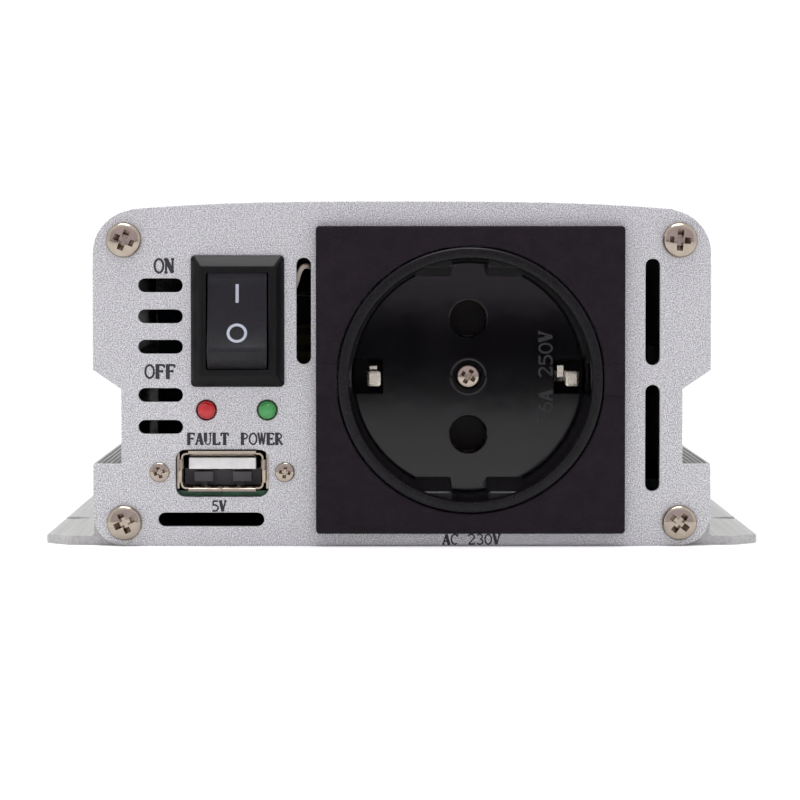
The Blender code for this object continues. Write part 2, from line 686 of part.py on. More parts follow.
def spider_outline(hub, reach, half_width, arms):
    """A round plate with straight arms, turned so that the arms point at the frame's corners."""
    points = []
    for arm in range(arms):
        middle = 360 / arms * (arm + 0.5)
        half_angle = math.degrees(math.asin(half_width / hub))
        along = Vector((math.cos(math.radians(middle)), math.sin(math.radians(middle))))
        across = Vector((-along.y, along.x))
        points += [tuple(along * reach - across * half_width), tuple(along * reach + across * half_width)]
        points += arc((0, 0), hub, middle + half_angle, middle + 360 / arms - half_angle, 5)
    return points


def make_fan():
    centre = (FAN_X, 0, FAN_Z)
    holes = [circle((0, 0), FAN_BORE, 32)]
    reach = FAN_SCREW_REACH
    holes += [circle((i * reach, j * reach), 1.8, 12) for i in (-1, 1) for j in (-1, 1)]
    outline = rectangle((0, 0), FAN_HALF, FAN_HALF, 2.5)
    body = prism([outline, *holes], FAN_FRONT, FAN_REAR)
    frame = add("fan_frame", body, matt_black_plastic(), centre, 30)
    spider = prism([spider_outline(10.5, 19.8, 1.2, 4)], FAN_FRONT + 0.1, FAN_FRONT + 1.3)
    shape_with(frame, "motor_mount", spider, "UNION")
    hub = turned([(0, 0), (10.2, 0), (10.2, 6.6), (9.4, 7.4), (0, 7.4)], 28)
    where = (FAN_X, FAN_FRONT + 1.9, FAN_Z)
    rotor = add("fan_rotor", hub, black_plastic(), where, 30)
    shape_with(rotor, "blades", joined([fan_blade(FAN_REST + 360 / 7 * i) for i in range(7)]), "UNION")
    for i in (-1, 1):
        for j in (-1, 1):
            name = "fan_screw_" + ("upper" if j > 0 else "lower") + ("_right" if i > 0 else "_left")
            x = FAN_X + i * FAN_SCREW_REACH
            z = FAN_Z + j * FAN_SCREW_REACH
            pan_screw(name, 2.7, 1.8, 1.3, 9.0, (x, REAR_Y + GAP, z), 1)


def fan_blade(turn):
    """A thin pitched blade from inside the hub to just short of the frame's bore."""
    bm = bmesh.new()
    rings = []
    for radius, sweep, lead, trail in ((9.2, 2.6, 1.0, 6.2), (13.5, 3.6, 0.8, 6.6), (18.1, 4.4, 0.8, 6.8)):
        section = [(-sweep, lead), (-sweep + 0.9, lead), (sweep, trail), (sweep - 0.9, trail)]
        ring = []
        for tangent, y in section:
            angle = math.radians(turn) + tangent / radius
            ring.append(bm.verts.new(Vector((radius * math.cos(angle), y, radius * math.sin(angle))) * MM))
        rings.append(ring)
    for near, far in zip(rings, rings[1:]):
        for i in range(4):
            j = (i + 1) % 4
            bm.faces.new((near[i], near[j], far[j], far[i]))
    bm.faces.new(rings[0])
    bm.faces.new(rings[-1])
    bmesh.ops.recalc_face_normals(bm, faces=bm.faces)
    return bm


# ---------------------------------------------------------------- input terminals

def fluted(radius, depth, flutes):
    """Outline of a knob with shallow flutes."""
    count = flutes * 4
    points = []
    for i in range(count):
        angle = 2 * math.pi * i / count
        reach = radius - depth * (0.5 - 0.5 * math.cos(flutes * angle))
        points.append((reach * math.cos(angle), reach * math.sin(angle)))
    return points


def make_terminal(color_name, x, color):
    plastic = material(color_name + "_plastic", color, 0.35)
    seat = REAR_Y + GAP
    flange_radius, flange_thickness = POST_FLANGE
    outer = seat + flange_thickness
    bore = STUD_RADIUS + GAP
    profile = [(bore, REAR_INNER - 1.5), (3.7, REAR_INNER - 1.5), (3.7, seat), (flange_radius, seat)]
    profile += [(flange_radius, outer - 0.6), (flange_radius - 0.6, outer), (bore, outer)]
    add(color_name + "_post_base", turned(profile, 24, hollow=True), plastic, (x, 0, POST_Z), 30)

    knob_start = outer + 0.7 + 2 * GAP
    stud = [(0, REAR_INNER - 11), (STUD_RADIUS, REAR_INNER - 11), (STUD_RADIUS, knob_start + 12.5)]
    stud += [(STUD_RADIUS - 0.5, knob_start + 13), (0, knob_start + 13)]
    add(color_name + "_post_stud", turned(stud, 16), brass(), (x, 0, POST_Z), 30)
    nut = [circle((0, 0), 5.77, 6), circle((0, 0), bore, 16)]
    add(color_name + "_post_nut", prism(nut, REAR_INNER - 6, REAR_INNER - 2), nickel(), (x, 0, POST_Z), 30)

    washer = turned([(bore + 0.1, 0), (5.5, 0), (5.5, 0.7), (bore + 0.1, 0.7)], 20, hollow=True)
    add(color_name + "_post_washer", washer, nickel(), (x, outer + GAP, POST_Z), 30)
    handle = prism([fluted(KNOB_RADIUS, 0.7, 12)], 0, KNOB_LENGTH)
    knob = add(color_name + "_post_knob", handle, plastic, (x, knob_start, POST_Z), 25)
    hole = prism([circle((0, 0), bore + 0.1, 16)], -1, 14)
    shape_with(knob, color_name + "_knob_bore", hole, "DIFFERENCE")


# ---------------------------------------------------------------- electronics

def make_board():
    half = HALF_WIDTH - WALL - GAP
    green = material("circuit_board", (0.03, 0.16, 0.07), 0.5)
    outline = [(half, BOARD_FRONT), (half, BOARD_REAR), (-half, BOARD_REAR), (-half, CASE_FRONT + GAP)]
    outline += [(BOARD_LIP_X, CASE_FRONT + GAP), (BOARD_LIP_X, BOARD_FRONT)]
    board = prism([outline], -BOARD_THICKNESS, 0, "Z")
    add("main_board", board, green, (0, 0, BOARD_TOP))


def make_transformer():
    spot = (-12.0, 0.0, PART_BASE)
    ferrite = material("ferrite", (0.05, 0.05, 0.055), 0.6)
    windows = [rectangle((side * 9.0, 15.0), 3.5, 10.5) for side in (-1, 1)]
    core = prism([rectangle((0, 15.0), 18.0, 15.0), *windows], -7.0, 7.0)
    add("transformer_core", core, ferrite, spot)
    tape = material("winding_tape", (0.55, 0.40, 0.05), 0.5)
    loops = [rectangle((0, 0), 12.2, 14.0, 2.5), rectangle((0, 0), 5.8, 7.3)]
    add("transformer_winding", prism(loops, 4.8, 25.2, "Z"), tape, spot, 30)


def make_choke():
    """Upright ring of ferrite wound with copper."""
    ring = [(9.0 + 3.6 * math.cos(a), 3.6 * math.sin(a)) for a in (math.radians(45 * i) for i in range(8))]
    copper = material("copper_wire", (0.70, 0.30, 0.12), 0.3, 1.0)
    choke = turned(ring, 20, "X", hollow=True)
    add("output_choke", choke, copper, (22.0, 0.0, PART_BASE + 12.7), 50)


def make_capacitors():
    sleeve = material("capacitor_sleeve", (0.03, 0.05, 0.12), 0.35)
    for name, radius, height, x, y in (("bus_capacitor", 8.0, 30.0, -34.0, -22.0),
                                       ("input_capacitor", 6.5, 25.0, 0.0, 38.0)):
        profile = [(0, 0), (radius, 0), (radius, height - 0.8), (radius - 0.8, height), (0, height)]
        add(name, turned(profile, 20, "Z"), sleeve, (x, y, PART_BASE), 30)


def make_transistors():
    """Four flat-tab transistors against the case wall, and the bar that clamps them."""
    face = WAIST_HALF_WIDTH - WALL - GAP
    body = face - 4.5
    leg = face - 2.5
    outline = [(leg, 0), (leg + 0.6, 0), (leg + 0.6, 2.9), (face, 2.9), (face, 16.4), (face - 1.3, 16.4)]
    outline += [(face - 1.3, 9.9), (body, 9.9), (body, 2.9), (leg, 2.9)]
    plastic = matt_black_plastic()
    for number, y in enumerate((-20.0, -4.0, 12.0, 28.0), 1):
        add("transistor_" + str(number), prism([outline], -5.0, 5.0), plastic, (0, y, PART_BASE))
    bar = block((body - GAP - 2.0, -28.0, 4.0), (body - GAP, 36.0, 9.0))
    add("clamp_bar", bar, extruded_metal(), (0, 0, PART_BASE))


def make_wiring():
    red = material("red_wire", (0.50, 0.02, 0.02), 0.45)
    black = material("black_wire", (0.02, 0.02, 0.02), 0.45)
    brown = material("brown_wire", (0.16, 0.06, 0.03), 0.45)
    blue = material("blue_wire", (0.03, 0.10, 0.45), 0.45)
    inner = REAR_INNER - 11 - 3 * GAP
    for name, x, look in (("positive_lead", RED_POST_X, red), ("negative_lead", BLACK_POST_X, black)):
        route = [(x, inner, POST_Z), (x, inner - 5, POST_Z - 1), (x - 1, inner - 11, 18)]
        wire(name, [*route, (x - 1, inner - 12, PART_BASE)], 1.7, look)
    start = FLOOR_BACK + 6.0
    for name, end, look in (("live_wire", 1, brown), ("neutral_wire", -1, blue)):
        x = SOCKET_X - end * WIRE_SHIFT
        z = SOCKET_Z + end * PIN_REACH
        route = [(x, start, z), (x, start + 10.6, z), (x - end, start + 16.6, z - 5)]
        wire(name, [*route, (x - end, start + 17.6, PART_BASE)], 1.1, look)


def main():
    clear_scene()
    make_case()
    make_front_plate()
    make_rear_plate()
    make_plate_screws()
    make_switch_housing()
    make_rocker()
    make_switch_terminals()
    make_indicators()
    make_usb_outlet()
    make_socket_faceplate()
    make_socket_cup()
    make_socket_back()
    make_socket_contacts()
    make_fan()
    make_terminal("red", RED_POST_X, (0.50, 0.02, 0.02))
    make_terminal("black", BLACK_POST_X, (0.02, 0.02, 0.02))
    make_board()
    make_transformer()
    make_choke()
    make_capacitors()
    make_transistors()
    make_wiring()


main()
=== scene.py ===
import json
import math

import bmesh
import bpy
from mathutils import Euler, Matrix, Vector
from mathutils.geometry import tessellate_polygon


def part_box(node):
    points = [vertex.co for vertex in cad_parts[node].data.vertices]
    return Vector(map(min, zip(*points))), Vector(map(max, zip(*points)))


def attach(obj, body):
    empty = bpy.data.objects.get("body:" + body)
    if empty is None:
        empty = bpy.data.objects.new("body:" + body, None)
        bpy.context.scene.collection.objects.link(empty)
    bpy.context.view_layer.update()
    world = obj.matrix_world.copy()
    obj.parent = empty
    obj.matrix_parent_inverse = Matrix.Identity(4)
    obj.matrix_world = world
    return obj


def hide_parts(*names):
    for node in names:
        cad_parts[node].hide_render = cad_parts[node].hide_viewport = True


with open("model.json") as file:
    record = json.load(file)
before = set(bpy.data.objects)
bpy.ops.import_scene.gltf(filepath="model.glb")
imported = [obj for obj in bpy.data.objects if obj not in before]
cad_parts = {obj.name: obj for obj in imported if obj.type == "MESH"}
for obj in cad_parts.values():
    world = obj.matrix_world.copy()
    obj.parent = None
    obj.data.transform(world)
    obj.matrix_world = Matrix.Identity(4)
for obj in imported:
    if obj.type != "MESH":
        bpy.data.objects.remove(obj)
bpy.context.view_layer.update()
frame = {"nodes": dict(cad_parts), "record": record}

# Shapes below are in millimetres and the mesh builders turn them into metres. +Z is up, the outlet end
# faces -Y, and the origin is the middle of the footprint, on the ground.
MM = 0.001


def box_mm(node):
    """Lowest and highest corner of a CAD node, in millimetres."""
    return [[value / MM for value in corner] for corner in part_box(node)]


def middle(node):
    low, high = box_mm(node)
    return [(a + b) / 2 for a, b in zip(low, high)]


def across(node):
    """Middle of a CAD node in the plane of the end plates."""
    x, _, z = middle(node)
    return x, z


FRONT_Y = box_mm("front_plate")[0][1]
FRONT_BACK = box_mm("front_plate")[1][1]
REAR_INNER = box_mm("rear_plate")[0][1]
REAR_Y = box_mm("rear_plate")[1][1]
CASE_FRONT = box_mm("body_extrusion")[0][1]
CASE_REAR = box_mm("body_extrusion")[1][1]
FLANGE = box_mm("body_extrusion")[1][0]
HALF_WIDTH = box_mm("front_plate")[1][0]
HEIGHT = box_mm("front_plate")[1][2]
SWITCH_X, SWITCH_Z = across("switch_housing")
USB_X, USB_Z = across("usb_shell")
USB_SCREW_Z = across("usb_screw_left")[1]
SOCKET_X, SOCKET_Z = across("socket_faceplate")
RIM_Y = box_mm("socket_cup")[0][1]
SCREW_X = 44.3
SCREW_LOW, SCREW_HIGH = 3.7, 48.8
PLATE_SCREWS = {"lower_left": (-SCREW_X, SCREW_LOW), "lower_right": (SCREW_X, SCREW_LOW),
                "upper_left": (-SCREW_X, SCREW_HIGH), "upper_right": (SCREW_X, SCREW_HIGH)}
JOINTS = {joint["name"]: joint for joint in frame["record"]["behaviour"]["joints"]}


# ======================== outlines

def arc(centre, radius, start, end, steps):
    """Points of an arc, angles in degrees, both ends included."""
    turn = [math.radians(start + (end - start) * i / steps) for i in range(steps + 1)]
    return [(centre[0] + radius * math.cos(a), centre[1] + radius * math.sin(a)) for a in turn]


def circle(centre, radius, steps=48):
    return arc(centre, radius, 0, 360, steps)[:-1]


def rectangle(centre, half_width, half_height, radius=0.0, steps=6):
    """A rectangle, counterclockwise, with round corners where a radius is given."""
    if radius == 0:
        corners = [(1, 1), (-1, 1), (-1, -1), (1, -1)]
        return [(centre[0] + i * half_width, centre[1] + j * half_height) for i, j in corners]
    points = []
    for i, j, start in ((1, 1, 0), (-1, 1, 90), (-1, -1, 180), (1, -1, 270)):
        corner = (centre[0] + i * (half_width - radius), centre[1] + j * (half_height - radius))
        points += arc(corner, radius, start, start + 90, steps)
    return points


def slot_outline(centre, length, width, upright=False, steps=12):
    """A slot with round ends, counterclockwise."""
    reach = (length - width) / 2
    dx, dz = (0, reach) if upright else (reach, 0)
    start = 0 if upright else -90
    far = arc((centre[0] + dx, centre[1] + dz), width / 2, start, start + 180, steps)
    near = arc((centre[0] - dx, centre[1] - dz), width / 2, start + 180, start + 360, steps)
    return far + near


def offset(loop, distance):
    """The loop moved outwards by a small distance; the loop runs counterclockwise."""
    points = [Vector(p) for p in loop]
    moved = []
    for before, here, after in zip(points[-1:] + points[:-1], points, points[1:] + points[:1]):
        a = (here - before).normalized()
        b = (after - here).normalized()
        normal = Vector((a.y + b.y, -a.x - b.x))
        scale = 2 / max(normal.length_squared, 0.5)
        moved.append(tuple(here + normal * distance * scale))
    return moved


def crown(x):
    """Height of the case's top at x."""
    return HEIGHT - 1.25 * (abs(x) / 43.3) ** 3


def ribbed(start, end, count, depth):
    """Points of V grooves with round bottoms cut into the straight side from start to end."""
    points = []
    for i in range(count):
        for part, cut in ((0.14, 0), (0.3, 0.75), (0.5, 1), (0.7, 0.75), (0.86, 0)):
            t = (i + part) / count
            points.append((start[0] + (end[0] - start[0]) * t + cut * depth[0],
                           start[1] + (end[1] - start[1]) * t + cut * depth[1]))
    return points


WAIST = 44.8
LEDGE_Z = 13.1
SHOULDER_Z = 28.1
WAIST_TOP_Z = 25.05
CORNER = (42.3, 46.65)
CORNER_RADIUS = 7.0


def mirrored(half):
    return half + [(-x, z) for x, z in reversed(half)]


def upper_half(side_ribs=(), top_ribs=0):
    """Right half of the case's section from the shoulder up."""
    points = [(HALF_WIDTH, SHOULDER_Z), *side_ribs, (HALF_WIDTH, CORNER[1])]
    points += arc(CORNER, CORNER_RADIUS, 4, 78, 20)
    points += [(x, crown(x)) for x in (43.0, 42.0, 41.0)]
    if top_ribs:
        points += [(x, crown(x) - depth) for x, depth in ribbed((39.0, 0), (25.0, 0), top_ribs, (0, 0.45))]
    else:
        points += [(x, crown(x)) for x in (39.0, 36.0, 33.0, 30.0, 27.0)]
    return points + [(x, crown(x)) for x in (22.0, 18.0, 14.0, 9.0, 4.0)]


def plate_outline():
    foot = 5.0
    half = arc((HALF_WIDTH - foot, foot), foot, -88, 0, 12)
    half += [(HALF_WIDTH, LEDGE_Z), (WAIST, LEDGE_Z), (WAIST, WAIST_TOP_Z)]
    return mirrored(half + upper_half())


def case_outline():
    thick = 1.45
    half = [(FLANGE, 0.25), *arc((FLANGE - 0.4, thick - 0.4), 0.4, 0, 90, 4)]
    half += arc((HALF_WIDTH + 0.6, thick + 0.6), 0.6, -90, -180, 5)
    half += [(HALF_WIDTH, LEDGE_Z)]
    half += ribbed((HALF_WIDTH - 0.3, LEDGE_Z), (WAIST + 0.3, LEDGE_Z), 5, (0, -0.4))
    half += [(WAIST, LEDGE_Z)]
    half += ribbed((WAIST, 14.6), (WAIST, 23.6), 6, (-0.5, 0))
    half += [(WAIST, WAIST_TOP_Z)]
    side_ribs = ribbed((HALF_WIDTH, 31.0), (HALF_WIDTH, 43.0), 6, (-0.45, 0))
    return mirrored([(FLANGE - 0.25, 0), *half, *upper_half(side_ribs, 6)])


def cavity_outline():
    wall = 1.8
    side = HALF_WIDTH - wall
    waist = WAIST - wall
    half = [(40.3, wall), *arc(PLATE_SCREWS["lower_right"], 3.2, 200, 20, 14), (side, 5.6)]
    half += [(side, 9.0), (side - 1.5, 9.0), (side - 1.5, 10.0), (side, 10.0)]
    half += [(side, LEDGE_Z - wall), (waist, LEDGE_Z - wall)]
    half += [(waist, WAIST_TOP_Z + 0.95), (side, SHOULDER_Z + 0.95), (side, 45.2)]
    half += arc(PLATE_SCREWS["upper_right"], 3.2, -60, -210, 14)
    return mirrored(half + [(x, crown(x) - wall) for x in (40.4, 34.0, 27.0, 18.0, 8.0)])


def strip_outline(points, thickness):
    """Closed outline of a bent strip, from its centre line."""
    left, right = [], []
    for i, point in enumerate(points):
        before = Vector(points[max(i - 1, 0)])
        after = Vector(points[min(i + 1, len(points) - 1)])
        along = (after - before).normalized()
        normal = Vector((-along.y, along.x)) * thickness / 2
        left.append(tuple(Vector(point) + normal))
        right.append(tuple(Vector(point) - normal))
    return right + left[::-1]


# ======================== mesh builders

def spot(axis, u, v, along):
    """A profile point at a station: X takes (y, z), Y takes (x, z), Z takes (x, y)."""
    return Vector({"X": (along, u, v), "Y": (u, along, v), "Z": (u, v, along)}[axis]) * MM


def bridge(bm, near, far):
    """A smooth band of faces between two rings; a ring of one point makes a tip."""
    steps = max(len(near), len(far))
    for i in range(steps):
        j = (i + 1) % steps
        corners = [near[i % len(near)], near[j % len(near)], far[j % len(far)], far[i % len(far)]]
        bm.faces.new(list(dict.fromkeys(corners))).smooth = True


def outward(bm):
    bmesh.ops.recalc_face_normals(bm, faces=bm.faces)
    return bm


def loft(stations, axis="Y"):
    """A solid through stations of (position, loops); the first loop is the outside, the rest are holes."""
    bm = bmesh.new()
    rows = []
    for at, loops in stations:
        rows.append([[bm.verts.new(spot(axis, u, v, at)) for u, v in loop] for loop in loops])
    for near, far in zip(rows, rows[1:]):
        for near_ring, far_ring in zip(near, far):
            bridge(bm, near_ring, far_ring)
    for (_, loops), rings in ((stations[0], rows[0]), (stations[-1], rows[-1])):
        corners = [vert for ring in rings for vert in ring]
        for triangle in tessellate_polygon([[Vector((u, v, 0)) for u, v in loop] for loop in loops]):
            bm.faces.new([corners[i] for i in triangle])
    return outward(bm)


def eased(loops, edge):
    """The outside moved in and the holes moved out by the same small distance."""
    return [offset(loops[0], -edge)] + [offset(loop, edge) for loop in loops[1:]]


def slab(loops, low, high, edge=0.0, axis="Y", both=False):
    """A plate with holes, whose edges are eased at the low end, or at both ends."""
    if edge == 0:
        return loft([(low, loops), (high, loops)], axis)
    tip, bend = eased(loops, edge), eased(loops, edge * 0.3)
    stations = [(low, tip), (low + edge * 0.3, bend), (low + edge, loops)]
    if both:
        stations += [(high - edge, loops), (high - edge * 0.3, bend), (high, tip)]
    else:
        stations.append((high, loops))
    return loft(stations, axis)


def block(low, high, edge=0.0):
    centre = ((low[0] + high[0]) / 2, (low[2] + high[2]) / 2)
    outline = rectangle(centre, (high[0] - low[0]) / 2, (high[2] - low[2]) / 2, edge, 3)
    return slab([outline], low[1], high[1], edge, both=True)


def turned(profile, steps=64, axis="Y", hollow=False):
    """A turned solid from (radius, station) points; a hollow one has a closed profile off the axis."""
    bm = bmesh.new()
    rings = []
    for radius, station in profile:
        ring = [(0, 0)] if radius == 0 else circle((0, 0), radius, steps)
        rings.append([bm.verts.new(spot(axis, u, v, station)) for u, v in ring])
    pairs = list(zip(rings, rings[1:]))
    if hollow:
        pairs.append((rings[-1], rings[0]))
    for near, far in pairs:
        bridge(bm, near, far)
    return outward(bm)


def finished(name, bm):
    """A mesh that is no longer under construction."""
    mesh = bpy.data.meshes.new(name)
    bm.to_mesh(mesh)
    bm.free()
    return mesh


def add_object(name, data):
    """Put a mesh, a light or a camera in the scene."""
    made = bpy.data.objects.new(name, data)
    bpy.context.scene.collection.objects.link(made)
    return made


def joined(meshes):
    """Several closed meshes as one."""
    whole = meshes[0]
    for other in meshes[1:]:
        part = finished("part", other)
        whole.from_mesh(part)
        bpy.data.meshes.remove(part)
    return whole


def tube(points, radius, steps=12):
    """A round tube through points in millimetres, smoothed into one curve, with closed ends."""
    knots = [Vector(p) for p in points]
    knots = [2 * knots[0] - knots[1], *knots, 2 * knots[-1] - knots[-2]]
    path = []
    for a, b, c, d in zip(knots, knots[1:], knots[2:], knots[3:]):
        for i in range(6):
            t = i / 6
            path.append(0.5 * (2 * b + (c - a) * t + (2 * a - 5 * b + 4 * c - d) * t ** 2
                               + (3 * b - a - 3 * c + d) * t ** 3))
    path.append(knots[-2])
    bm = bmesh.new()
    rings = []
    side = None
    for i, point in enumerate(path):
        along = (path[min(i + 1, len(path) - 1)] - path[max(i - 1, 0)]).normalized()
        if side is None:
            side = along.orthogonal().normalized()
        side = (side - along * side.dot(along)).normalized()
        up = along.cross(side)
        rings.append([bm.verts.new((point + side * radius * math.cos(a) + up * radius * math.sin(a)) * MM)
                      for a in (2 * math.pi * k / steps for k in range(steps))])
    for near, far in zip(rings, rings[1:]):
        bridge(bm, near, far)
    bm.faces.new(rings[0])
    bm.faces.new(rings[-1])
    return outward(bm)


# ======================== materials

def new_material(name):
    made = bpy.data.materials.new(name)
    made.use_nodes = True
    tree = made.node_tree
    return made, tree, tree.nodes["Principled BSDF"]


def grain(tree, scale, stretch=(1, 1, 1), detail=3.0):
    """Noise in the object's own metres; its scale is in cycles per metre."""
    place = tree.nodes.new("ShaderNodeTexCoord")
    mapping = tree.nodes.new("ShaderNodeMapping")
    mapping.inputs["Scale"].default_value = stretch
    tree.links.new(place.outputs["Object"], mapping.inputs["Vector"])
    noise = tree.nodes.new("ShaderNodeTexNoise")
    noise.inputs["Scale"].default_value = scale
    noise.inputs["Detail"].default_value = detail
    tree.links.new(mapping.outputs["Vector"], noise.inputs["Vector"])
    return noise.outputs["Fac"]


def paint(tree, shader, value, stops):
    """Colour a surface along a value; stops are (position, colour)."""
    node = tree.nodes.new("ShaderNodeValToRGB")
    band = node.color_ramp
    for _ in stops[2:]:
        band.elements.new(0.5)
    for element, (position, color) in zip(band.elements, stops):
        element.position = position
        element.color = (*color, 1.0)
    tree.links.new(value, node.inputs["Fac"])
    tree.links.new(node.outputs["Color"], shader.inputs["Base Color"])


def roughen(tree, shader, value, low, high):
    """Spread the middle of a noise over a surface's roughness, from low to high."""
    node = tree.nodes.new("ShaderNodeMapRange")
    node.inputs["From Min"].default_value = 0.3
    node.inputs["From Max"].default_value = 0.7
    node.inputs["To Min"].default_value = low
    node.inputs["To Max"].default_value = high
    tree.links.new(value, node.inputs["Value"])
    tree.links.new(node.outputs["Result"], shader.inputs["Roughness"])


def bump(tree, shader, height, distance, strength=1.0):
    node = tree.nodes.new("ShaderNodeBump")
    node.inputs["Distance"].default_value = distance
    node.inputs["Strength"].default_value = strength
    tree.links.new(height, node.inputs["Height"])
    tree.links.new(node.outputs["Normal"], shader.inputs["Normal"])


def tinted(color, amount):
    return tuple(max(0.0, channel * amount) for channel in color)


def sand_blasted():
    """Fine, sparkling grain of a blasted and anodised plate."""
    made, tree, shader = new_material("sand_blasted_aluminium")
    shader.inputs["Metallic"].default_value = 0.6
    fine = grain(tree, 5600, detail=2.0)
    pit, plain, glint = (0.270, 0.275, 0.280), (0.502, 0.510, 0.518), (0.74, 0.75, 0.762)
    paint(tree, shader, fine, [(0.36, pit), (0.5, plain), (0.64, glint)])
    roughen(tree, shader, grain(tree, 2400, detail=2.0), 0.42, 0.62)
    bump(tree, shader, fine, 0.00005, 0.5)
    return made


def extruded():
    """Satin aluminium with fine die lines along the case."""
    made, tree, shader = new_material("extruded_aluminium")
    shader.inputs["Metallic"].default_value = 0.8
    lines = grain(tree, 1500, (1, 0.012, 1), 4.0)
    specks = grain(tree, 2600, (1, 1, 1), 2.0)
    dull, plain, bright = (0.35, 0.35, 0.35), (0.43, 0.43, 0.425), (0.50, 0.50, 0.49)
    paint(tree, shader, specks, [(0.25, dull), (0.55, plain), (0.8, bright)])
    roughen(tree, shader, lines, 0.36, 0.52)
    bump(tree, shader, lines, 0.00003, 0.5)
    return made


def plated(name, color, roughness):
    """Plated metal with faint stains and scratches."""
    made, tree, shader = new_material(name)
    shader.inputs["Metallic"].default_value = 1.0
    stains = grain(tree, 900, detail=4.0)
    paint(tree, shader, stains, [(0.3, tinted(color, 0.86)), (0.7, color)])
    roughen(tree, shader, grain(tree, 3000), roughness * 0.7, roughness * 1.4)
    bump(tree, shader, grain(tree, 5000, detail=2.0), 0.00001, 0.3)
    return made


def moulded(name, color, roughness, grain_scale=6000, depth=0.00001, variation=0.12, specular=0.5):
    """Moulded plastic: a grain or slow waviness, slight mottling and a little variation in gloss."""
    made, tree, shader = new_material(name)
    shader.inputs["Specular IOR Level"].default_value = specular
    mottle = grain(tree, 400, detail=5.0)
    low, high = tinted(color, 1 - variation), tinted(color, 1 + variation)
    paint(tree, shader, mottle, [(0.3, low), (0.7, high)])
    fine = grain(tree, grain_scale, detail=2.0)
    roughen(tree, shader, fine, roughness * 0.88, roughness * 1.12)
    bump(tree, shader, fine, depth, 0.6)
    return made


def lens(name, color):
    """Tinted, slightly cloudy epoxy with a faint painted glow from a little emission."""
    made, tree, shader = new_material(name)
    cloud = grain(tree, 1500, detail=2.0)
    paint(tree, shader, cloud, [(0.3, tinted(color, 0.9)), (0.7, tinted(color, 1.1))])
    shader.inputs["Roughness"].default_value = 0.12
    shader.inputs["Coat Weight"].default_value = 0.15
    shader.inputs["Coat Roughness"].default_value = 0.05
    # painted glow: the lens emits a little light of its own colour, though it is no lamp
    shader.inputs["Emission Color"].default_value = (*color, 1.0)
    shader.inputs["Emission Strength"].default_value = 0.03
    return made


def board_material():
    """Green solder mask over faint copper tracks."""
    made, tree, shader = new_material("circuit_board_mask")
    tracks = grain(tree, 260, (1, 0.25, 1), 1.0)
    low, track, high = (0.02, 0.12, 0.05), (0.03, 0.20, 0.08), (0.02, 0.13, 0.05)
    paint(tree, shader, tracks, [(0.44, low), (0.5, track), (0.56, high)])
    roughen(tree, shader, grain(tree, 2000), 0.3, 0.45)
    bump(tree, shader, tracks, 0.00003, 0.5)
    return made


BANDS_PER_UNIT = 0.314      # scale of a wave texture whose bands lie one unit apart


def winding_material(name, color, pitch, metallic=0.0, roughness=0.4):
    """Turns of wire or tape, as bands across the winding; the dark part of each band is painted shade
    between the turns.
    """
    made, tree, shader = new_material(name)
    place = tree.nodes.new("ShaderNodeTexCoord")
    wave = tree.nodes.new("ShaderNodeTexWave")
    wave.bands_direction = "Z"
    wave.inputs["Scale"].default_value = BANDS_PER_UNIT / (pitch * MM)
    wave.inputs["Distortion"].default_value = 0.6
    tree.links.new(place.outputs["Object"], wave.inputs["Vector"])
    # the darker band colour is a shaded copy of the winding's colour: painted shade between the turns
    paint(tree, shader, wave.outputs["Fac"], [(0.1, tinted(color, 0.45)), (0.6, color)])
    shader.inputs["Metallic"].default_value = metallic
    roughen(tree, shader, grain(tree, 1500), roughness * 0.8, roughness * 1.2)
    bump(tree, shader, wave.outputs["Fac"], 0.0001, 0.6)
    return made


SAND = sand_blasted()
CASE = extruded()
NICKEL = plated("nickel", (0.40, 0.345, 0.285), 0.13)
BRIGHT_NICKEL = plated("bright_nickel", (0.58, 0.55, 0.47), 0.28)
BRASS = plated("brass", (0.72, 0.52, 0.24), 0.25)
MATT_BLACK = moulded("matt_black_plastic", (0.0080, 0.0050, 0.0084), 0.58, 2400, 0.00035, 0.3, 0.14)
SATIN_BLACK = moulded("satin_black_plastic", (0.0030, 0.0030, 0.0032), 0.32, 3600, 0.00004, 0.15, 0.16)
ROCKER_BLACK = moulded("rocker_black_plastic", (0.0105, 0.0102, 0.0128), 0.30, 6000, 0.00001, 0.1, 0.22)
GLOSS_BLACK = moulded("gloss_black_plastic", (0.0028, 0.0024, 0.0034), 0.07, 130, 0.00002, 0.2, 0.37)
RECESS_BLACK = moulded("recess_black_plastic", (0.0030, 0.0026, 0.0034), 0.30, 2600, 0.00005, 0.2, 0.2)
# rating letters: a rougher and lighter copy of the floor's black; the lighter colour is painted highlight
# on the raised strokes
RAISED_BLACK_PAINTED_HIGHLIGHT = moulded("raised_black_painted_highlight", (0.0120, 0.0112, 0.0130), 0.42, 2600, 0.00005, 0.2, 0.5)
RED_PLASTIC = moulded("red_plastic", (0.46, 0.018, 0.018), 0.30)
WHITE_PLASTIC = moulded("white_plastic", (0.72, 0.73, 0.71), 0.38)
# the USB insulator's white plastic darkened to grey: painted shade deep inside the shell
WHITE_PLASTIC_PAINTED_SHADE = moulded("white_insulator_painted_shade", (0.09, 0.09, 0.095), 0.5)
CREAM_WIRE = moulded("cream_insulation", (0.70, 0.62, 0.52), 0.5, 1500, 0.00003)
INK = moulded("black_ink", (0.012, 0.011, 0.014), 0.55, 4000, 0.00001, 0.3)
MARK_PAINT = moulded("mark_paint", (0.34, 0.37, 0.42), 0.5, 4000, 0.00001, 0.15)
RED_LENS = lens("red_lens", (0.44, 0.008, 0.012))
GREEN_LENS = lens("green_lens", (0.045, 0.27, 0.07))


# ======================== pieces

def shade(mesh, sharp):
    """Smooth shading up to an angle on the curved faces; flat end faces stay flat."""
    curved = [face.use_smooth for face in mesh.polygons]
    mesh.set_sharp_from_angle(angle=math.radians(sharp))
    mesh.polygons.foreach_set("use_smooth", curved)


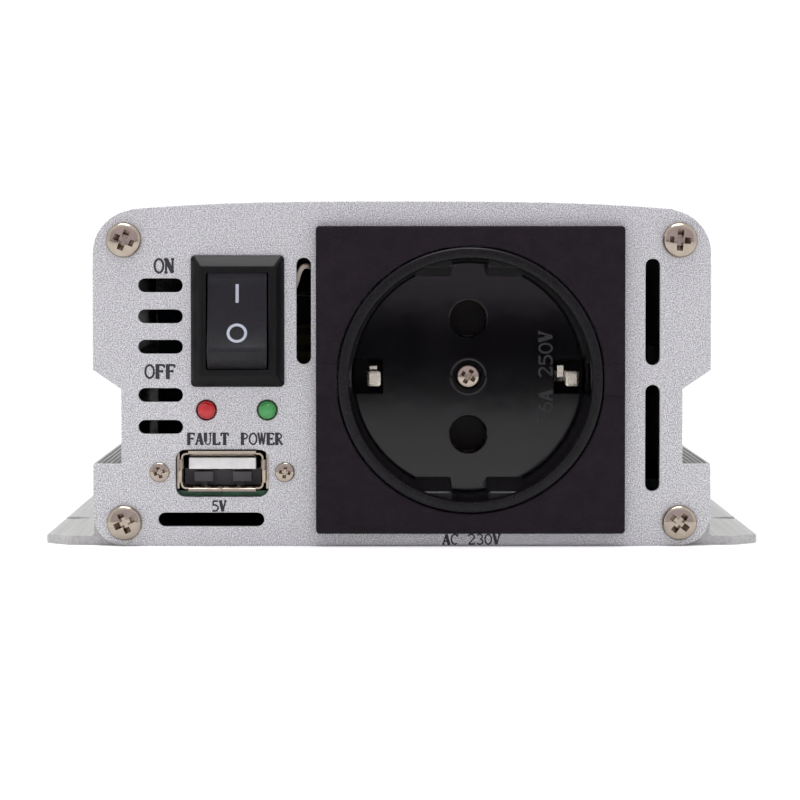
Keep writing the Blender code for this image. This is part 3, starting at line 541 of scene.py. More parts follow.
def piece(name, bm, material, slot, nodes=(), body="chassis", at=(0, 0, 0), turn=(0, 0, 0), sharp=28):
    """Make one visible piece at a place in millimetres, on its body, in place of its CAD nodes."""
    matrix = Matrix.Translation(Vector(at) * MM) @ Euler(turn).to_matrix().to_4x4()
    bm.transform(matrix)
    mesh = finished(name, bm)
    mesh.materials.append(material)
    shade(mesh, sharp)
    made = add_object(name, mesh)
    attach(made, body)
    if nodes:
        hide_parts(*nodes)
    return made


def carve(target, bm):
    """Cut a shape out of a finished piece and apply the result."""
    cutter = add_object("cutter", finished("cutter", bm))
    change = target.modifiers.new("carve", "BOOLEAN")
    change.operation = "DIFFERENCE"
    change.solver = "EXACT"
    change.object = cutter
    bpy.context.view_layer.update()
    graph = bpy.context.evaluated_depsgraph_get()
    result = bpy.data.meshes.new_from_object(target.evaluated_get(graph))
    target.modifiers.clear()
    target.data = result
    bpy.data.objects.remove(cutter)
    shade(result, 28)


# ------------------------ case

NOTCH_X = 55.4
NOTCH_Y = 30.0
NOTCH_RADIUS = 2.4


def make_case():
    bores = [circle(at, 1.5, 24) for at in PLATE_SCREWS.values()]
    loops = [case_outline(), cavity_outline(), *bores]
    case = piece("case", loft([(CASE_FRONT, loops), (CASE_REAR, loops)]), CASE, "case", ["body_extrusion"],
                 sharp=35)
    outer = FLANGE + 1
    cuts = []
    for side in (-1, 1):
        for end in (-1, 1):
            y = end * NOTCH_Y
            notch = arc((NOTCH_X, y), NOTCH_RADIUS, 90, 270, 24)
            notch += [(outer, y - NOTCH_RADIUS), (outer, y + NOTCH_RADIUS)]
            corner = [(FLANGE - 4.5, end * (CASE_REAR + 1)), (outer, end * (CASE_REAR + 1))]
            corner += [(outer, end * (CASE_REAR - 5.5)), *flange_corner(end)]
            for outline in (notch, corner):
                loop = [(side * x, y) for x, y in outline]
                cuts.append(loft([(-1, [loop]), (2.4, [loop])], "Z"))
    carve(case, joined(cuts))


def flange_corner(end):
    """Softly rounded slope across the flange's corner, from its side to its end."""
    steps = ((0.0, 5.5), (0.25, 4.6), (0.9, 3.6), (3.4, 0.7), (4.0, 0.2), (4.5, 0.0))
    return [(FLANGE - x, end * (CASE_REAR - y)) for x, y in steps]


VENT = 2.2


def make_front_plate():
    holes = [circle(at, 1.7, 24) for at in PLATE_SCREWS.values()]
    holes += [slot_outline((-38.5, z), 7.1, VENT) for z in (19.0, 24.1, 31.8, 36.65, 41.6)]
    holes.append(slot_outline((-30.45, 4.2), 16.9, VENT))
    for at in ((-15.66, 37.5), (40.0, 37.35), (40.0, 17.2)):
        holes.append(slot_outline(at, 17.0, VENT + 0.1, True))
    holes.append(rectangle((SWITCH_X, SWITCH_Z), 6.7, 9.8))
    holes += [circle(across(node), 1.65, 32) for node in ("led_fault", "led_power")]
    holes.append(rectangle((USB_X, USB_SCREW_Z - 0.15), 7.4, 3.75, 1.5))
    holes += [circle((USB_X + i * 10, USB_SCREW_Z), 1.1, 20) for i in (-1, 1)]
    holes.append(rectangle((SOCKET_X, SOCKET_Z), 21, 21, 4.0))
    panel = slab([plate_outline(), *holes], FRONT_Y, FRONT_BACK, 0.12)
    piece("front_panel", panel, SAND, "plate", ["front_plate"])


def make_rear_plate():
    fan_x, fan_z = across("fan_frame")
    holes = [circle(at, 1.7, 24) for at in PLATE_SCREWS.values()]
    holes += [circle(across(node), 4.0, 32) for node in ("red_post_base", "black_post_base")]
    holes += [circle((fan_x + i * 16, fan_z + j * 16), 1.7, 24) for i in (-1, 1) for j in (-1, 1)]
    for row in range(-3, 4):
        rise = 4.6 * row
        holes.append(slot_outline((fan_x, fan_z + rise), 2 * math.sqrt(17.5 ** 2 - rise ** 2), 2.6))
    loops = [plate_outline(), *holes]
    edge = 0.12
    stations = [(REAR_INNER, loops), (REAR_Y - edge, loops), (REAR_Y, eased(loops, edge))]
    piece("rear_panel", loft(stations), SAND, "plate", ["rear_plate"])


# ------------------------ screws

def cross_outline(reach, half_width):
    corners = [(reach, -half_width), (reach, half_width), (half_width, half_width)]
    points = []
    for quarter in range(4):
        a = math.radians(90 * quarter)
        for x, y in corners:
            points.append((x * math.cos(a) - y * math.sin(a), x * math.sin(a) + y * math.cos(a)))
    return points


def screw_mesh(radius, height, shank, length):
    """A pan-head screw along Y whose seat is at 0 and whose head rises towards -Y, with a cross recess."""
    head = [(0, -height)]
    for i in range(1, 8):
        a = math.radians(90 * i / 8)
        head.append((radius * math.sin(a) ** 0.8, -height * (0.28 + 0.72 * math.cos(a) ** 0.9)))
    head += [(radius, -0.22 * height), (radius * 0.985, -0.04), (radius * 0.95, 0)]
    head += [(shank, 0), (shank, length), (0, length + shank * 0.8)]
    target = add_object("screw", finished("screw", turned(head, 48)))
    target.data.materials.append(NICKEL)
    wide = cross_outline(radius * 0.62, radius * 0.18)
    mid = cross_outline(radius * 0.50, radius * 0.15)
    deep = cross_outline(radius * 0.30, radius * 0.10)
    carve(target, loft([(-height - 0.1, [wide]), (-height * 0.30, [mid]), (height * 0.30, [deep])]))
    mesh = target.data
    bpy.data.objects.remove(target)
    return mesh


def place_screw(name, mesh, seat, facing, roll, node):
    """Put a screw's head on its seat; facing is -1 towards the outlet end and 1 towards the fan end."""
    bm = bmesh.new()
    bm.from_mesh(mesh)
    turn = Matrix.Rotation(math.radians(roll), 4, "Y")
    if facing > 0:
        turn = Matrix.Rotation(math.pi, 4, "Z") @ turn
    bm.transform(turn)
    piece(name, bm, NICKEL, "nickel", [node], at=seat)


def make_screws():
    plate_screw = screw_mesh(2.84, 1.6, 1.2, 8.0)
    fan_screw = screw_mesh(2.65, 1.6, 1.3, 9.0)
    usb_screw = screw_mesh(1.6, 0.75, 0.8, 5.5)
    centre_screw = screw_mesh(2.15, 0.95, 1.3, 9.0)
    rolls = {"upper_left": 22, "lower_left": -24, "upper_right": 4, "lower_right": 38}
    for corner, (x, z) in PLATE_SCREWS.items():
        place_screw("front_corner_screw_" + corner, plate_screw, (x, FRONT_Y, z), -1, rolls[corner],
                    "front_screw_" + corner)
        place_screw("rear_corner_screw_" + corner, plate_screw, (x, REAR_Y, z), 1, rolls[corner] + 31,
                    "rear_screw_" + corner)
        fan_x, fan_z = across("fan_screw_" + corner)
        place_screw("grille_screw_" + corner, fan_screw, (fan_x, REAR_Y, fan_z), 1, 3 * rolls[corner],
                    "fan_screw_" + corner)
    for side, roll in (("left", -18), ("right", 8)):
        x, z = across("usb_screw_" + side)
        place_screw("outlet_screw_" + side, usb_screw, (x, FRONT_Y, z), -1, roll, "usb_screw_" + side)
    place_screw("recess_screw", centre_screw, (SOCKET_X, RIM_Y + 19.0, SOCKET_Z), -1, 30, "socket_screw")


# ------------------------ rocker switch

BEZEL_FRONT = box_mm("switch_housing")[0][1]
WELL = (5.0, 7.75)


def make_switch_housing():
    centre = (SWITCH_X, SWITCH_Z)
    well = rectangle(centre, *WELL, 0.25)
    sizes = [(0.0, 6.0, 8.7, 0.35), (0.06, 6.08, 8.8, 0.4), (1.75, 7.42, 10.46, 0.7)]
    sizes += [(1.9, 7.45, 10.5, 0.7), (2.2, 7.45, 10.5, 0.7)]
    stations = []
    for y, half_width, half_height, radius in sizes:
        stations.append((BEZEL_FRONT + y, [rectangle(centre, half_width, half_height, radius), well]))
    bezel = loft(stations)
    edge = [rectangle(centre, 5.85, 8.55, 0.3), offset(well, -0.03)]
    lip = slab(edge, BEZEL_FRONT - 0.04, BEZEL_FRONT + 0.3, 0.05)
    shell = [rectangle(centre, 6.4, 9.5), rectangle(centre, 5.0, 8.95)]
    walls = loft([(FRONT_Y, shell), (FRONT_Y + 12, shell)])
    floor = loft([(FRONT_Y + 10, shell[:1]), (FRONT_Y + 13, shell[:1])])
    housing = joined([bezel, lip, walls, floor])
    piece("switch_bezel", housing, SATIN_BLACK, "gloss_black", ["switch_housing"])


ROCKER_REACH = 6.3


def face_y(z):
    """The dished face, forward of the pivot, at height z above it; negative is towards the outlet end."""
    return -(4.85 + 1.15 * (z / ROCKER_REACH) ** 2)


def raised_mark(loops):
    """A thin painted mark that follows the dished face; a second loop is a hole in the first."""
    bm = bmesh.new()
    layers = []
    for lift in (0.03, -0.06):
        rings = [[(x, face_y(z) - lift, z) for x, z in loop] for loop in loops]
        layers.append([[bm.verts.new(Vector(at) * MM) for at in ring] for ring in rings])
    front, back = layers
    count = len(loops[0])
    for i in range(count):
        j = (i + 1) % count
        for near, far in zip(front, back):
            bm.faces.new((near[i], near[j], far[j], far[i]))
        if len(loops) > 1:
            for outer, inner in layers:
                bm.faces.new((outer[i], outer[j], inner[j], inner[i]))
    if len(loops) == 1:
        bm.faces.new(front[0])
        bm.faces.new(back[0])
    return outward(bm)


def make_rocker():
    pivot = [value / MM for value in JOINTS["rocker_tilt"]["pos_m"]]
    tilt = (math.radians(-14.0), 0, 0)
    face = [(face_y(ROCKER_REACH * i / 16), ROCKER_REACH * i / 16) for i in range(-15, 16)]
    start = math.degrees(math.atan2(6.0, ROCKER_REACH))
    upper = [(-v, u) for u, v in arc((0, 0), 8.7, start - 0.9, 8, 14)] + [(0.8, 7.4), (3.0, 2.5)]
    outline = face + upper + [(y, -z) for y, z in reversed(upper)]
    body = slab([outline[::-1]], -4.75, 4.75, 0.22, "X", both=True)
    pin = loft([(-6, [circle((0, 0), 1.0, 24)]), (6, [circle((0, 0), 1.0, 24)])], "X")
    place = ("rocker", pivot, tilt)
    piece("rocker", joined([body, pin]), ROCKER_BLACK, "gloss_black", ["switch_rocker"], *place)
    right = [(0.25, 1.8 + 2.9 * t) for t in (0, 0.33, 0.66, 1)]
    bar = right + [(-x, z) for x, z in reversed(right)]
    piece("on_mark", raised_mark([bar]), MARK_PAINT, "gloss_black", (), *place)
    ring = [circle((0, -3.2), 1.62, 48), circle((0, -3.2), 1.17, 48)]
    piece("off_mark", raised_mark(ring), MARK_PAINT, "gloss_black", (), *place)


# ------------------------ indicators

def make_indicators():
    """Two 3 mm indicators, each with a domed front and a collar behind the plate."""
    radius = 1.42
    turns = [math.radians(i * 9) for i in range(11)]
    profile = [(radius * math.sin(a), -0.05 - 1.2 * math.cos(a)) for a in turns]
    profile += [(radius, 2.1), (1.9, 2.1), (1.9, 3.0), (radius, 3.0), (radius, 5.0), (0, 5.0)]
    lights = (("led_fault", RED_LENS, "red_lens"), ("led_power", GREEN_LENS, "green_lens"))
    for node, material, slot in lights:
        x, z = across(node)
        piece(node + "_lens", turned(profile, 48), material, slot, [node], at=(x, FRONT_Y, z), sharp=40)


# ------------------------ USB outlet

def make_usb():
    front = box_mm("usb_shell")[0][1]
    centre = (USB_X, USB_Z)
    tube_loops = [rectangle(centre, 6.6, 2.9, 0.8), rectangle(centre, 6.3, 2.6, 0.55)]
    shell = [slab(tube_loops, front + 0.45, front + 14, 0.05)]
    lip = strip_outline([(0.0, 0.0), (-0.28, 0.08), (-0.48, 0.26), (-0.58, 0.48), (-0.6, 0.62)], 0.28)
    for end, spans in ((1, [(-5.4, 5.4)]), (-1, [(-5.4, -0.03), (0.03, 5.4)])):
        outline = [(front + 0.5 + u, USB_Z + end * (2.62 + v)) for u, v in lip]
        for low, high in spans:
            shell.append(slab([outline[::end]], USB_X + low, USB_X + high, 0.03, "X", True))
    for side in (-1, 1):
        outline = [(USB_X + side * (6.32 + v), front + 0.5 + u) for u, v in lip]
        shell.append(slab([outline[::-side]], USB_Z - 1.85, USB_Z + 1.85, 0.03, "Z", True))
    spring = [(1.2, -2.6), (2.4, -2.1), (3.6, -1.85), (4.6, -2.1)]
    tab = strip_outline([(front + u, USB_Z + v) for u, v in spring], 0.2)
    for x in (USB_X - 2.9, USB_X + 2.9):
        shell.append(slab([tab], x - 0.55, x + 0.55, 0.02, "X", True))
    piece("usb_receptacle", joined(shell), NICKEL, "nickel", ["usb_shell"], sharp=35)
    tongue = block((USB_X - 5.35, front + 1.0, USB_Z + 0.3), (USB_X + 5.35, front + 12, USB_Z + 2.12), 0.12)
    piece("usb_insert", tongue, WHITE_PLASTIC, "white_plastic", ["usb_tongue"])
    # The block behind the tongue and its ribs are the same white insulator, coloured grey: painted shade.
    back = block((USB_X - 6.2, front + 5.2, USB_Z - 2.5), (USB_X + 6.2, front + 13.5, USB_Z + 0.28), 0.1)
    ribs = []
    for x in (USB_X - 3.1, USB_X + 3.1):
        ribs.append(block((x - 1.55, front + 3.4, USB_Z - 1.9), (x + 1.55, front + 5.4, USB_Z - 0.2), 0.1))
    piece("usb_rear_block", joined([back, *ribs]), WHITE_PLASTIC_PAINTED_SHADE, "white_plastic")
    # The contact tips are metal, but coloured as black plastic: painted shadow under the tongue.
    tips_in_painted_shadow = []
    for x in (USB_X - 3.5, USB_X - 1.1, USB_X + 1.1, USB_X + 3.5):
        tips_in_painted_shadow.append(block((x - 0.6, front + 1.2, USB_Z + 0.12), (x + 0.6, front + 9.0, USB_Z + 0.34), 0.05))
    piece("usb_contacts_painted_shadow", joined(tips_in_painted_shadow), SATIN_BLACK, "gloss_black")


# ------------------------ outlet

FACE_Y = box_mm("socket_faceplate")[0][1]
FLOOR_Y = RIM_Y + 17.5
CUP = 21.2
FLOOR_RADIUS = 18.9
RIM_INNER = 19.4
SLOT_INNER, SLOT_OUTER = 14.1, 19.7
SLOT_HALF = 2.65
BAND_HALF = 2.43
OUTLET = (SOCKET_X, 0, SOCKET_Z)


def make_socket_face():
    outline = rectangle((0, 0), 24.6, 24.5, 0.6)
    hole = circle((0, 0), CUP + 0.12, 128)
    face = slab([outline, hole], FACE_Y, FRONT_Y, 0.22)
    limit = math.degrees(math.asin(BAND_HALF / (CUP + 0.1)))
    band = [(24.58, -BAND_HALF), (24.58, BAND_HALF), *arc((0, 0), CUP + 0.1, limit, -limit, 6)]
    parts = [face]
    for side in (-1, 1):
        points = [(side * x, z) for x, z in band]
        parts.append(slab([points[::side]], FACE_Y - 0.25, FACE_Y + 0.6, 0.08))
    piece("outlet_face", joined(parts), MATT_BLACK, "matt_black", ["socket_faceplate"], at=OUTLET, sharp=20)


def guide_block(side, end):
    """One of the blocks that guide the plug: a shelf below the rim that leans in towards the floor."""
    near, far = 2.8, 8.7
    radius = 20.0

    def outline(inner, ease):
        sweep = [near + ease + (far - near - 2 * ease) * i / 10 for i in range(10, -1, -1)]
        points = [*arc((near + 0.5 + ease, inner + 0.5), 0.5, 180, 270, 4), (far - ease, inner)]
        points += [(x, math.sqrt(radius ** 2 - x ** 2)) for x in sweep]
        return [(side * x, end * z) for x, z in points][::side * end]

    shelf = RIM_Y + 2.2
    stations = [(shelf, [outline(18.1, 0.22)]), (shelf + 0.22, [outline(17.85, 0)])]
    return loft([*stations, (FLOOR_Y + 0.5, [outline(16.3, 0)])])


def make_socket_cup():
    y = RIM_Y
    wall = [(CUP, y + 0.6), (CUP - 0.08, y + 0.3), (CUP - 0.25, y + 0.1), (CUP - 0.5, y)]
    wall += [(RIM_INNER + 0.3, y), (RIM_INNER + 0.1, y + 0.06), (RIM_INNER, y + 0.25)]
    wall += [(RIM_INNER - 0.1, y + 3.0), (FLOOR_RADIUS + 0.25, y + 3.3), (FLOOR_RADIUS, FLOOR_Y - 0.4)]
    wall += [(FLOOR_RADIUS - 0.3, FLOOR_Y + 0.1), (FLOOR_RADIUS - 0.3, FLOOR_Y + 2.9), (CUP, FLOOR_Y + 2.9)]
    recess = piece("outlet_recess", turned(wall, 160, hollow=True), RECESS_BLACK, "gloss_black",
                   ["socket_cup"], at=OUTLET, sharp=24)
    slots = []
    for side in (-1, 1):
        low, high = sorted((SOCKET_X + side * SLOT_INNER, SOCKET_X + side * SLOT_OUTER))
        near = (low, RIM_Y + 2.6, SOCKET_Z - SLOT_HALF)
        far = (high, FLOOR_Y + 4, SOCKET_Z + SLOT_HALF)
        slots.append(block(near, far, 0.2))
    carve(recess, joined(slots))
    guides = [guide_block(side, end) for side in (-1, 1) for end in (-1, 1)]
    piece("outlet_guides", joined(guides), RECESS_BLACK, "gloss_black", at=OUTLET, sharp=24)


def make_socket_floor():
    """The floor in two layers, with two pin holes, a collar round the centre hole and the earth bites."""
    disc = slotted_disc()
    pins = [circle((0, i * 9.5), 3.0, 64) for i in (-1, 1)]
    back = [disc, *pins, circle((0, 0), 1.7, 32)]
    parts = [slab([disc, *pins, circle((0, 0), 2.65, 48)], FLOOR_Y, FLOOR_Y + 1.8, 0.2)]
    parts.append(loft([(FLOOR_Y + 1.85, back), (FLOOR_Y + 2.9, back)]))
    collar = [(3.10, FLOOR_Y + 0.1), (3.06, FLOOR_Y - 0.05), (2.98, FLOOR_Y - 0.08), (2.80, FLOOR_Y - 0.08)]
    parts.append(turned([*collar, (2.70, FLOOR_Y - 0.04), (2.70, FLOOR_Y + 0.1)], 64, hollow=True))
    piece("outlet_floor", joined(parts), GLOSS_BLACK, "gloss_black", at=OUTLET, sharp=24)


def slotted_disc():
    """Outline of the floor: a circle with a square bite on each side for the earth contacts."""
    radius = FLOOR_RADIUS - 0.2
    edge = math.degrees(math.asin(SLOT_HALF / radius))
    outline = arc((0, 0), radius, edge, 180 - edge, 60)
    outline += [(-SLOT_INNER, SLOT_HALF), (-SLOT_INNER, -SLOT_HALF)]
    outline += arc((0, 0), radius, 180 + edge, 360 - edge, 60)
    return outline + [(SLOT_INNER, -SLOT_HALF), (SLOT_INNER, SLOT_HALF)]


def make_earth_strap():
    """A sprung strap behind the floor whose two ends come forward beside the plug and fold over."""
    base = FLOOR_Y + 4.0
    half = [(0.0, base), (15.4, base), (16.2, base - 0.5), (16.5, base - 1.4), (16.9, FLOOR_Y - 3.0)]
    line = [(-x, y) for x, y in reversed(half[1:])] + half
    parts = [slab([strip_outline(line, 0.6)[::-1]], -0.9, 0.9, 0.12, "Z", both=True)]
    for side in (-1, 1):
        pad = rectangle((side * 16.1, -0.25), 1.18, 1.3, 0.55)
        steps = ((-3.5, -0.45), (-3.4, -0.12), (-2.8, 0.0))
        parts.append(loft([(FLOOR_Y + y, [offset(pad, ease)]) for y, ease in steps]))
        low, high = (1.15, 1.85) if side < 0 else (-0.1, 1.95)
        near, far = (-16.9, -15.6) if side < 0 else (13.7, 14.85)
        parts.append(block((near, FLOOR_Y - 1.6, low), (far, FLOOR_Y - 1.0, high), 0.12))
    piece("earth_clip", joined(parts), BRIGHT_NICKEL, "nickel", ["earth_strap"],
          at=(middle("earth_strap")[0], 0, SOCKET_Z), sharp=40)


# ------------------------ lettering

# Each letter is drawn in a box 0.5 wide and 1 high; a stroke is (points, width). Bars are thick, serifs
# thin, and every stroke is printed BOLD times as wide as it is written here.
THICK, THIN = 0.19, 0.10
BOLD = 1.55


def oval(width=0.21, height=0.47, centre=(0.25, 0.5), start=0, end=360, steps=20):
    turn = [math.radians(start + (end - start) * i / steps) for i in range(steps + 1)]
    return [(centre[0] + width * math.cos(a), centre[1] + height * math.sin(a)) for a in turn]


def bar(x0, y0, x1, y1, width=THIN):
    return ([(x0, y0), (x1, y1)], width)


def serif(x, y, reach=0.10):
    return bar(x - reach, y, x + reach, y)


U_BOWL = [(0.11, 1), (0.11, 0.3), (0.13, 0.12), (0.2, 0.03), (0.3, 0.03), (0.38, 0.14), (0.40, 0.3),
          (0.40, 1)]
STEM = [bar(0.13, 0, 0.13, 1, THICK), serif(0.13, 0.03), serif(0.13, 0.97)]
GLYPHS = {
    "O": [(oval(), 0.10)],
    "0": [(oval(0.19), 0.10)],
    "N": [bar(0.09, 0, 0.09, 1), bar(0.09, 0.97, 0.41, 0.03, THICK), bar(0.41, 0, 0.41, 1),
          serif(0.09, 0.03, 0.08), serif(0.07, 0.97, 0.07), serif(0.41, 0.97, 0.08)],
    "F": [*STEM, bar(0.13, 0.97, 0.45, 0.97), bar(0.45, 1, 0.45, 0.78),
          bar(0.13, 0.52, 0.36, 0.52), bar(0.36, 0.62, 0.36, 0.42)],
    "E": [*STEM, bar(0.13, 0.97, 0.44, 0.97), bar(0.44, 1, 0.44, 0.8),
          bar(0.13, 0.52, 0.35, 0.52), bar(0.35, 0.62, 0.35, 0.42),
          bar(0.13, 0.03, 0.46, 0.03), bar(0.46, 0, 0.46, 0.22)],
    "A": [bar(0.25, 0.98, 0.07, 0.02), bar(0.25, 1, 0.42, 0, THICK), bar(0.13, 0.32, 0.37, 0.32),
          serif(0.08, 0.03, 0.07), serif(0.42, 0.03, 0.08)],
    "U": [(U_BOWL, 0.08), bar(0.11, 1, 0.11, 0.25, THICK), serif(0.11, 0.97, 0.09),
          serif(0.40, 0.97, 0.08)],
    "L": [*STEM, bar(0.13, 0.03, 0.45, 0.03), bar(0.45, 0, 0.45, 0.26)],
    "T": [bar(0.25, 0, 0.25, 1, THICK), bar(0.05, 0.97, 0.45, 0.97), bar(0.05, 1, 0.05, 0.76),
          bar(0.45, 1, 0.45, 0.76), serif(0.25, 0.03, 0.11)],
    "P": [*STEM, (oval(0.24, 0.235, (0.18, 0.735), -90, 90), 0.09)],
    "R": [*STEM, (oval(0.22, 0.235, (0.18, 0.735), -90, 90), 0.09), bar(0.22, 0.5, 0.42, 0.02, 0.11),
          serif(0.43, 0.03, 0.06)],
    "W": [bar(0.06, 1, 0.16, 0, 0.11), bar(0.16, 0, 0.26, 0.9), bar(0.24, 1, 0.35, 0, 0.11),
          bar(0.35, 0, 0.45, 1), serif(0.06, 0.97, 0.06), serif(0.25, 0.97, 0.05), serif(0.45, 0.97, 0.05)],
    "V": [bar(0.08, 1, 0.25, 0, THICK), bar(0.25, 0.02, 0.42, 1), serif(0.09, 0.97, 0.08),
          serif(0.41, 0.97, 0.08)],
    "C": [(oval(0.20, 0.47, (0.26, 0.5), 50, 310), 0.10), bar(0.41, 1, 0.41, 0.72)],
    "5": [bar(0.11, 0.95, 0.42, 0.95, 0.11), bar(0.11, 0.97, 0.10, 0.52),
          (oval(0.23, 0.28, (0.20, 0.32), 110, -130), 0.10)],
    "2": [(oval(0.18, 0.24, (0.24, 0.74), 165, -35), 0.10), bar(0.40, 0.6, 0.09, 0.06, 0.08),
          bar(0.08, 0.05, 0.42, 0.05, 0.11), bar(0.42, 0.0, 0.43, 0.2)],
    "3": [(oval(0.16, 0.22, (0.24, 0.76), 150, -90), 0.09),
          (oval(0.18, 0.25, (0.24, 0.28), 90, -150), 0.10)],
    "1": [bar(0.26, 0, 0.26, 1, 0.11), bar(0.26, 0.97, 0.14, 0.82)],
    "6": [(oval(0.19, 0.28, (0.25, 0.30)), 0.10),
          ([(0.07, 0.32), (0.12, 0.68), (0.24, 0.9), (0.38, 0.97)], 0.10)],
    " ": [],
}
# Words on the front plate: the middle's x and z, the letters' height and the width of the word.
LABELS = {
    "ON": (-37.9, 44.7, 2.3, 3.3),
    "OFF": (-38.6, 27.85, 2.2, 4.95),
    "FAULT": (-31.0, 17.1, 1.85, 6.75),
    "POWER": (-22.4, 17.1, 1.85, 6.85),
    "5V": (-29.2, 6.35, 1.75, 2.4),
    "AC 230V": (11.1, 1.02, 1.65, 9.4),
}


def label_mesh(text, height, width):
    """Printed letters, centred on the origin in the XZ plane and a hair proud of it."""
    pitch = width / len(text)
    stretch = pitch / 0.5
    bm = bmesh.new()
    for index, letter in enumerate(text):
        for layer, (points, stroke) in enumerate(GLYPHS[letter]):
            lift = -0.006 - 0.0012 * layer
            left = -width / 2 + index * pitch
            line = [(left + u * stretch, (v - 0.5) * height) for u, v in points]
            edge = strip_outline(line, BOLD * stroke * height)
            count = len(line)
            front = [bm.verts.new(Vector((x, lift, z)) * MM) for x, z in edge]
            back = [bm.verts.new(Vector((x, 0.02, z)) * MM) for x, z in edge]
            for i in range(count - 1):
                far = 2 * count - 1 - i
                for ring in (front, back):
                    bm.faces.new((ring[i], ring[i + 1], ring[far - 1], ring[far]))
            for i in range(2 * count):
                j = (i + 1) % (2 * count)
                bm.faces.new((front[i], front[j], back[j], back[i]))
    return outward(bm)


def make_rating():
    """Raised rating beside the pin holes, reading upwards, rougher than the floor and lighter: the lighter
    colour is painted highlight.
    """
    bm = label_mesh("16A 250V", 2.2, 15.5)
    bm.transform(Matrix.Rotation(math.radians(-90), 4, "Y"))
    spot_at = (SOCKET_X + 12.6, FLOOR_Y - 0.06, SOCKET_Z - 0.2)
    piece("recess_rating", bm, RAISED_BLACK_PAINTED_HIGHLIGHT, "gloss_black", at=spot_at, sharp=60)


def make_labels():
    for text, (x, z, height, width) in LABELS.items():
        name = "label_" + text.replace(" ", "_").lower()
        piece(name, label_mesh(text, height, width), INK, "matt_black", at=(x, FRONT_Y, z), sharp=60)


# ------------------------ rear: terminals and fan

def fluted(radius, depth, flutes):
    points = []
    for i in range(flutes * 12):
        angle = 2 * math.pi * i / (flutes * 12)
        reach = radius - depth * (0.5 - 0.5 * math.cos(flutes * angle)) ** 1.5
        points.append((reach * math.cos(angle), reach * math.sin(angle)))
    return points


def make_terminals():
    make_terminal("red", RED_PLASTIC, "red_plastic")
    make_terminal("black", SATIN_BLACK, "gloss_black")


def make_terminal(color, plastic, slot):
    """One battery terminal: a base on the plate, a washer that can slide, and a fluted knob."""
    x, z = across(color + "_post_base")
    at = (x, 0, z)
    outer = box_mm(color + "_post_base")[1][1]
    base = [(3.0, REAR_INNER - 1.5), (3.7, REAR_INNER - 1.5), (3.7, REAR_Y + 0.02), (6.9, REAR_Y + 0.02)]
    base += [(7.0, REAR_Y + 0.15), (7.0, outer - 0.7), (6.8, outer - 0.2), (6.3, outer), (3.0, outer)]
    mesh = turned(base, 64, hollow=True)
    piece(color + "_terminal_base", mesh, plastic, slot, [color + "_post_base"], at=at)
    low = box_mm(color + "_post_washer")[0][1]
    washer = [(3.1, 0), (5.4, 0), (5.5, 0.1), (5.5, 0.6), (5.4, 0.7), (3.1, 0.7)]
    mesh = turned([(radius, low + y) for radius, y in washer], 48, hollow=True)
    name = color + "_post_washer"
    piece(color + "_terminal_washer", mesh, NICKEL, "nickel", [name], color + "_washer", at)
    start, end = (box_mm(color + "_post_knob")[i][1] for i in (0, 1))
    body = [fluted(7.0, 0.75, 12)]
    waist = [offset(body[0], -0.5)]
    collar, cap, tip = ([circle((0, 0), radius, 144)] for radius in (6.1, 5.6, 5.2))
    stations = [(start, collar), (start + 1.2, collar), (start + 1.5, waist), (start + 2.0, body)]
    stations += [(end - 1.2, body), (end - 0.5, waist), (end - 0.2, cap), (end, tip)]
    name = color + "_post_knob"
    knob = piece(color + "_terminal_knob", loft(stations), plastic, slot, [name], color + "_knob", at)
    bore = [circle((x, z), 3.1, 32)]
    carve(knob, loft([(start - 1, bore), (start + 13.9, bore)]))


def paint_nodes():
    """CAD pieces that are shown as they are get a procedural finish."""
    sleeve = moulded("capacitor_sleeve", (0.03, 0.05, 0.13), 0.32)
    looks = {
        "fan_frame": MATT_BLACK, "fan_rotor": SATIN_BLACK, "socket_back": SATIN_BLACK,
        "live_sleeve": BRASS, "neutral_sleeve": BRASS,
        "switch_terminal_in": BRASS, "switch_terminal_out": BRASS,
        "red_post_stud": BRASS, "black_post_stud": BRASS, "red_post_nut": NICKEL, "black_post_nut": NICKEL,
        "usb_bracket": NICKEL, "main_board": board_material(), "clamp_bar": SATIN_BLACK,
        "transformer_core": moulded("ferrite", (0.045, 0.045, 0.05), 0.55, 1500, 0.00004, 0.3),
        "transformer_winding": winding_material("tape_winding", (0.20, 0.13, 0.02), 3.0),
        "output_choke": winding_material("copper_winding", (0.70, 0.28, 0.10), 0.9, 0.9, 0.3),
        "bus_capacitor": sleeve, "input_capacitor": sleeve,
        "positive_lead": moulded("red_insulation", (0.42, 0.015, 0.015), 0.45),
        "negative_lead": moulded("black_insulation", (0.015, 0.015, 0.015), 0.45),
        "live_wire": moulded("brown_insulation", (0.14, 0.05, 0.025), 0.45),
        "neutral_wire": moulded("blue_insulation", (0.03, 0.09, 0.40), 0.45),
    }
    for number in range(1, 5):
        looks[f"transistor_{number}"] = MATT_BLACK
    for node, look in looks.items():
        materials = frame["nodes"][node].data.materials
        materials.clear()
        materials.append(look)


def make_inner_wire():
    """A pale lead that loops past the top of the tall vent beside the switch."""
    route = [(-18.4, 9, 36), (-17.6, 4, 40.0), (-16.9, 1.5, 42.0), (-16.45, 1.2, 43.5), (-15.9, 1.3, 44.45)]
    route += [(-15.2, 1.9, 44.65), (-14.9, 4, 44.6), (-14.8, 9, 44.4)]
    lead = tube([(x, FRONT_BACK + y, z) for x, y, z in route], 0.42)
    piece("inner_lead", lead, CREAM_WIRE, "white_plastic")


# ======================== studio

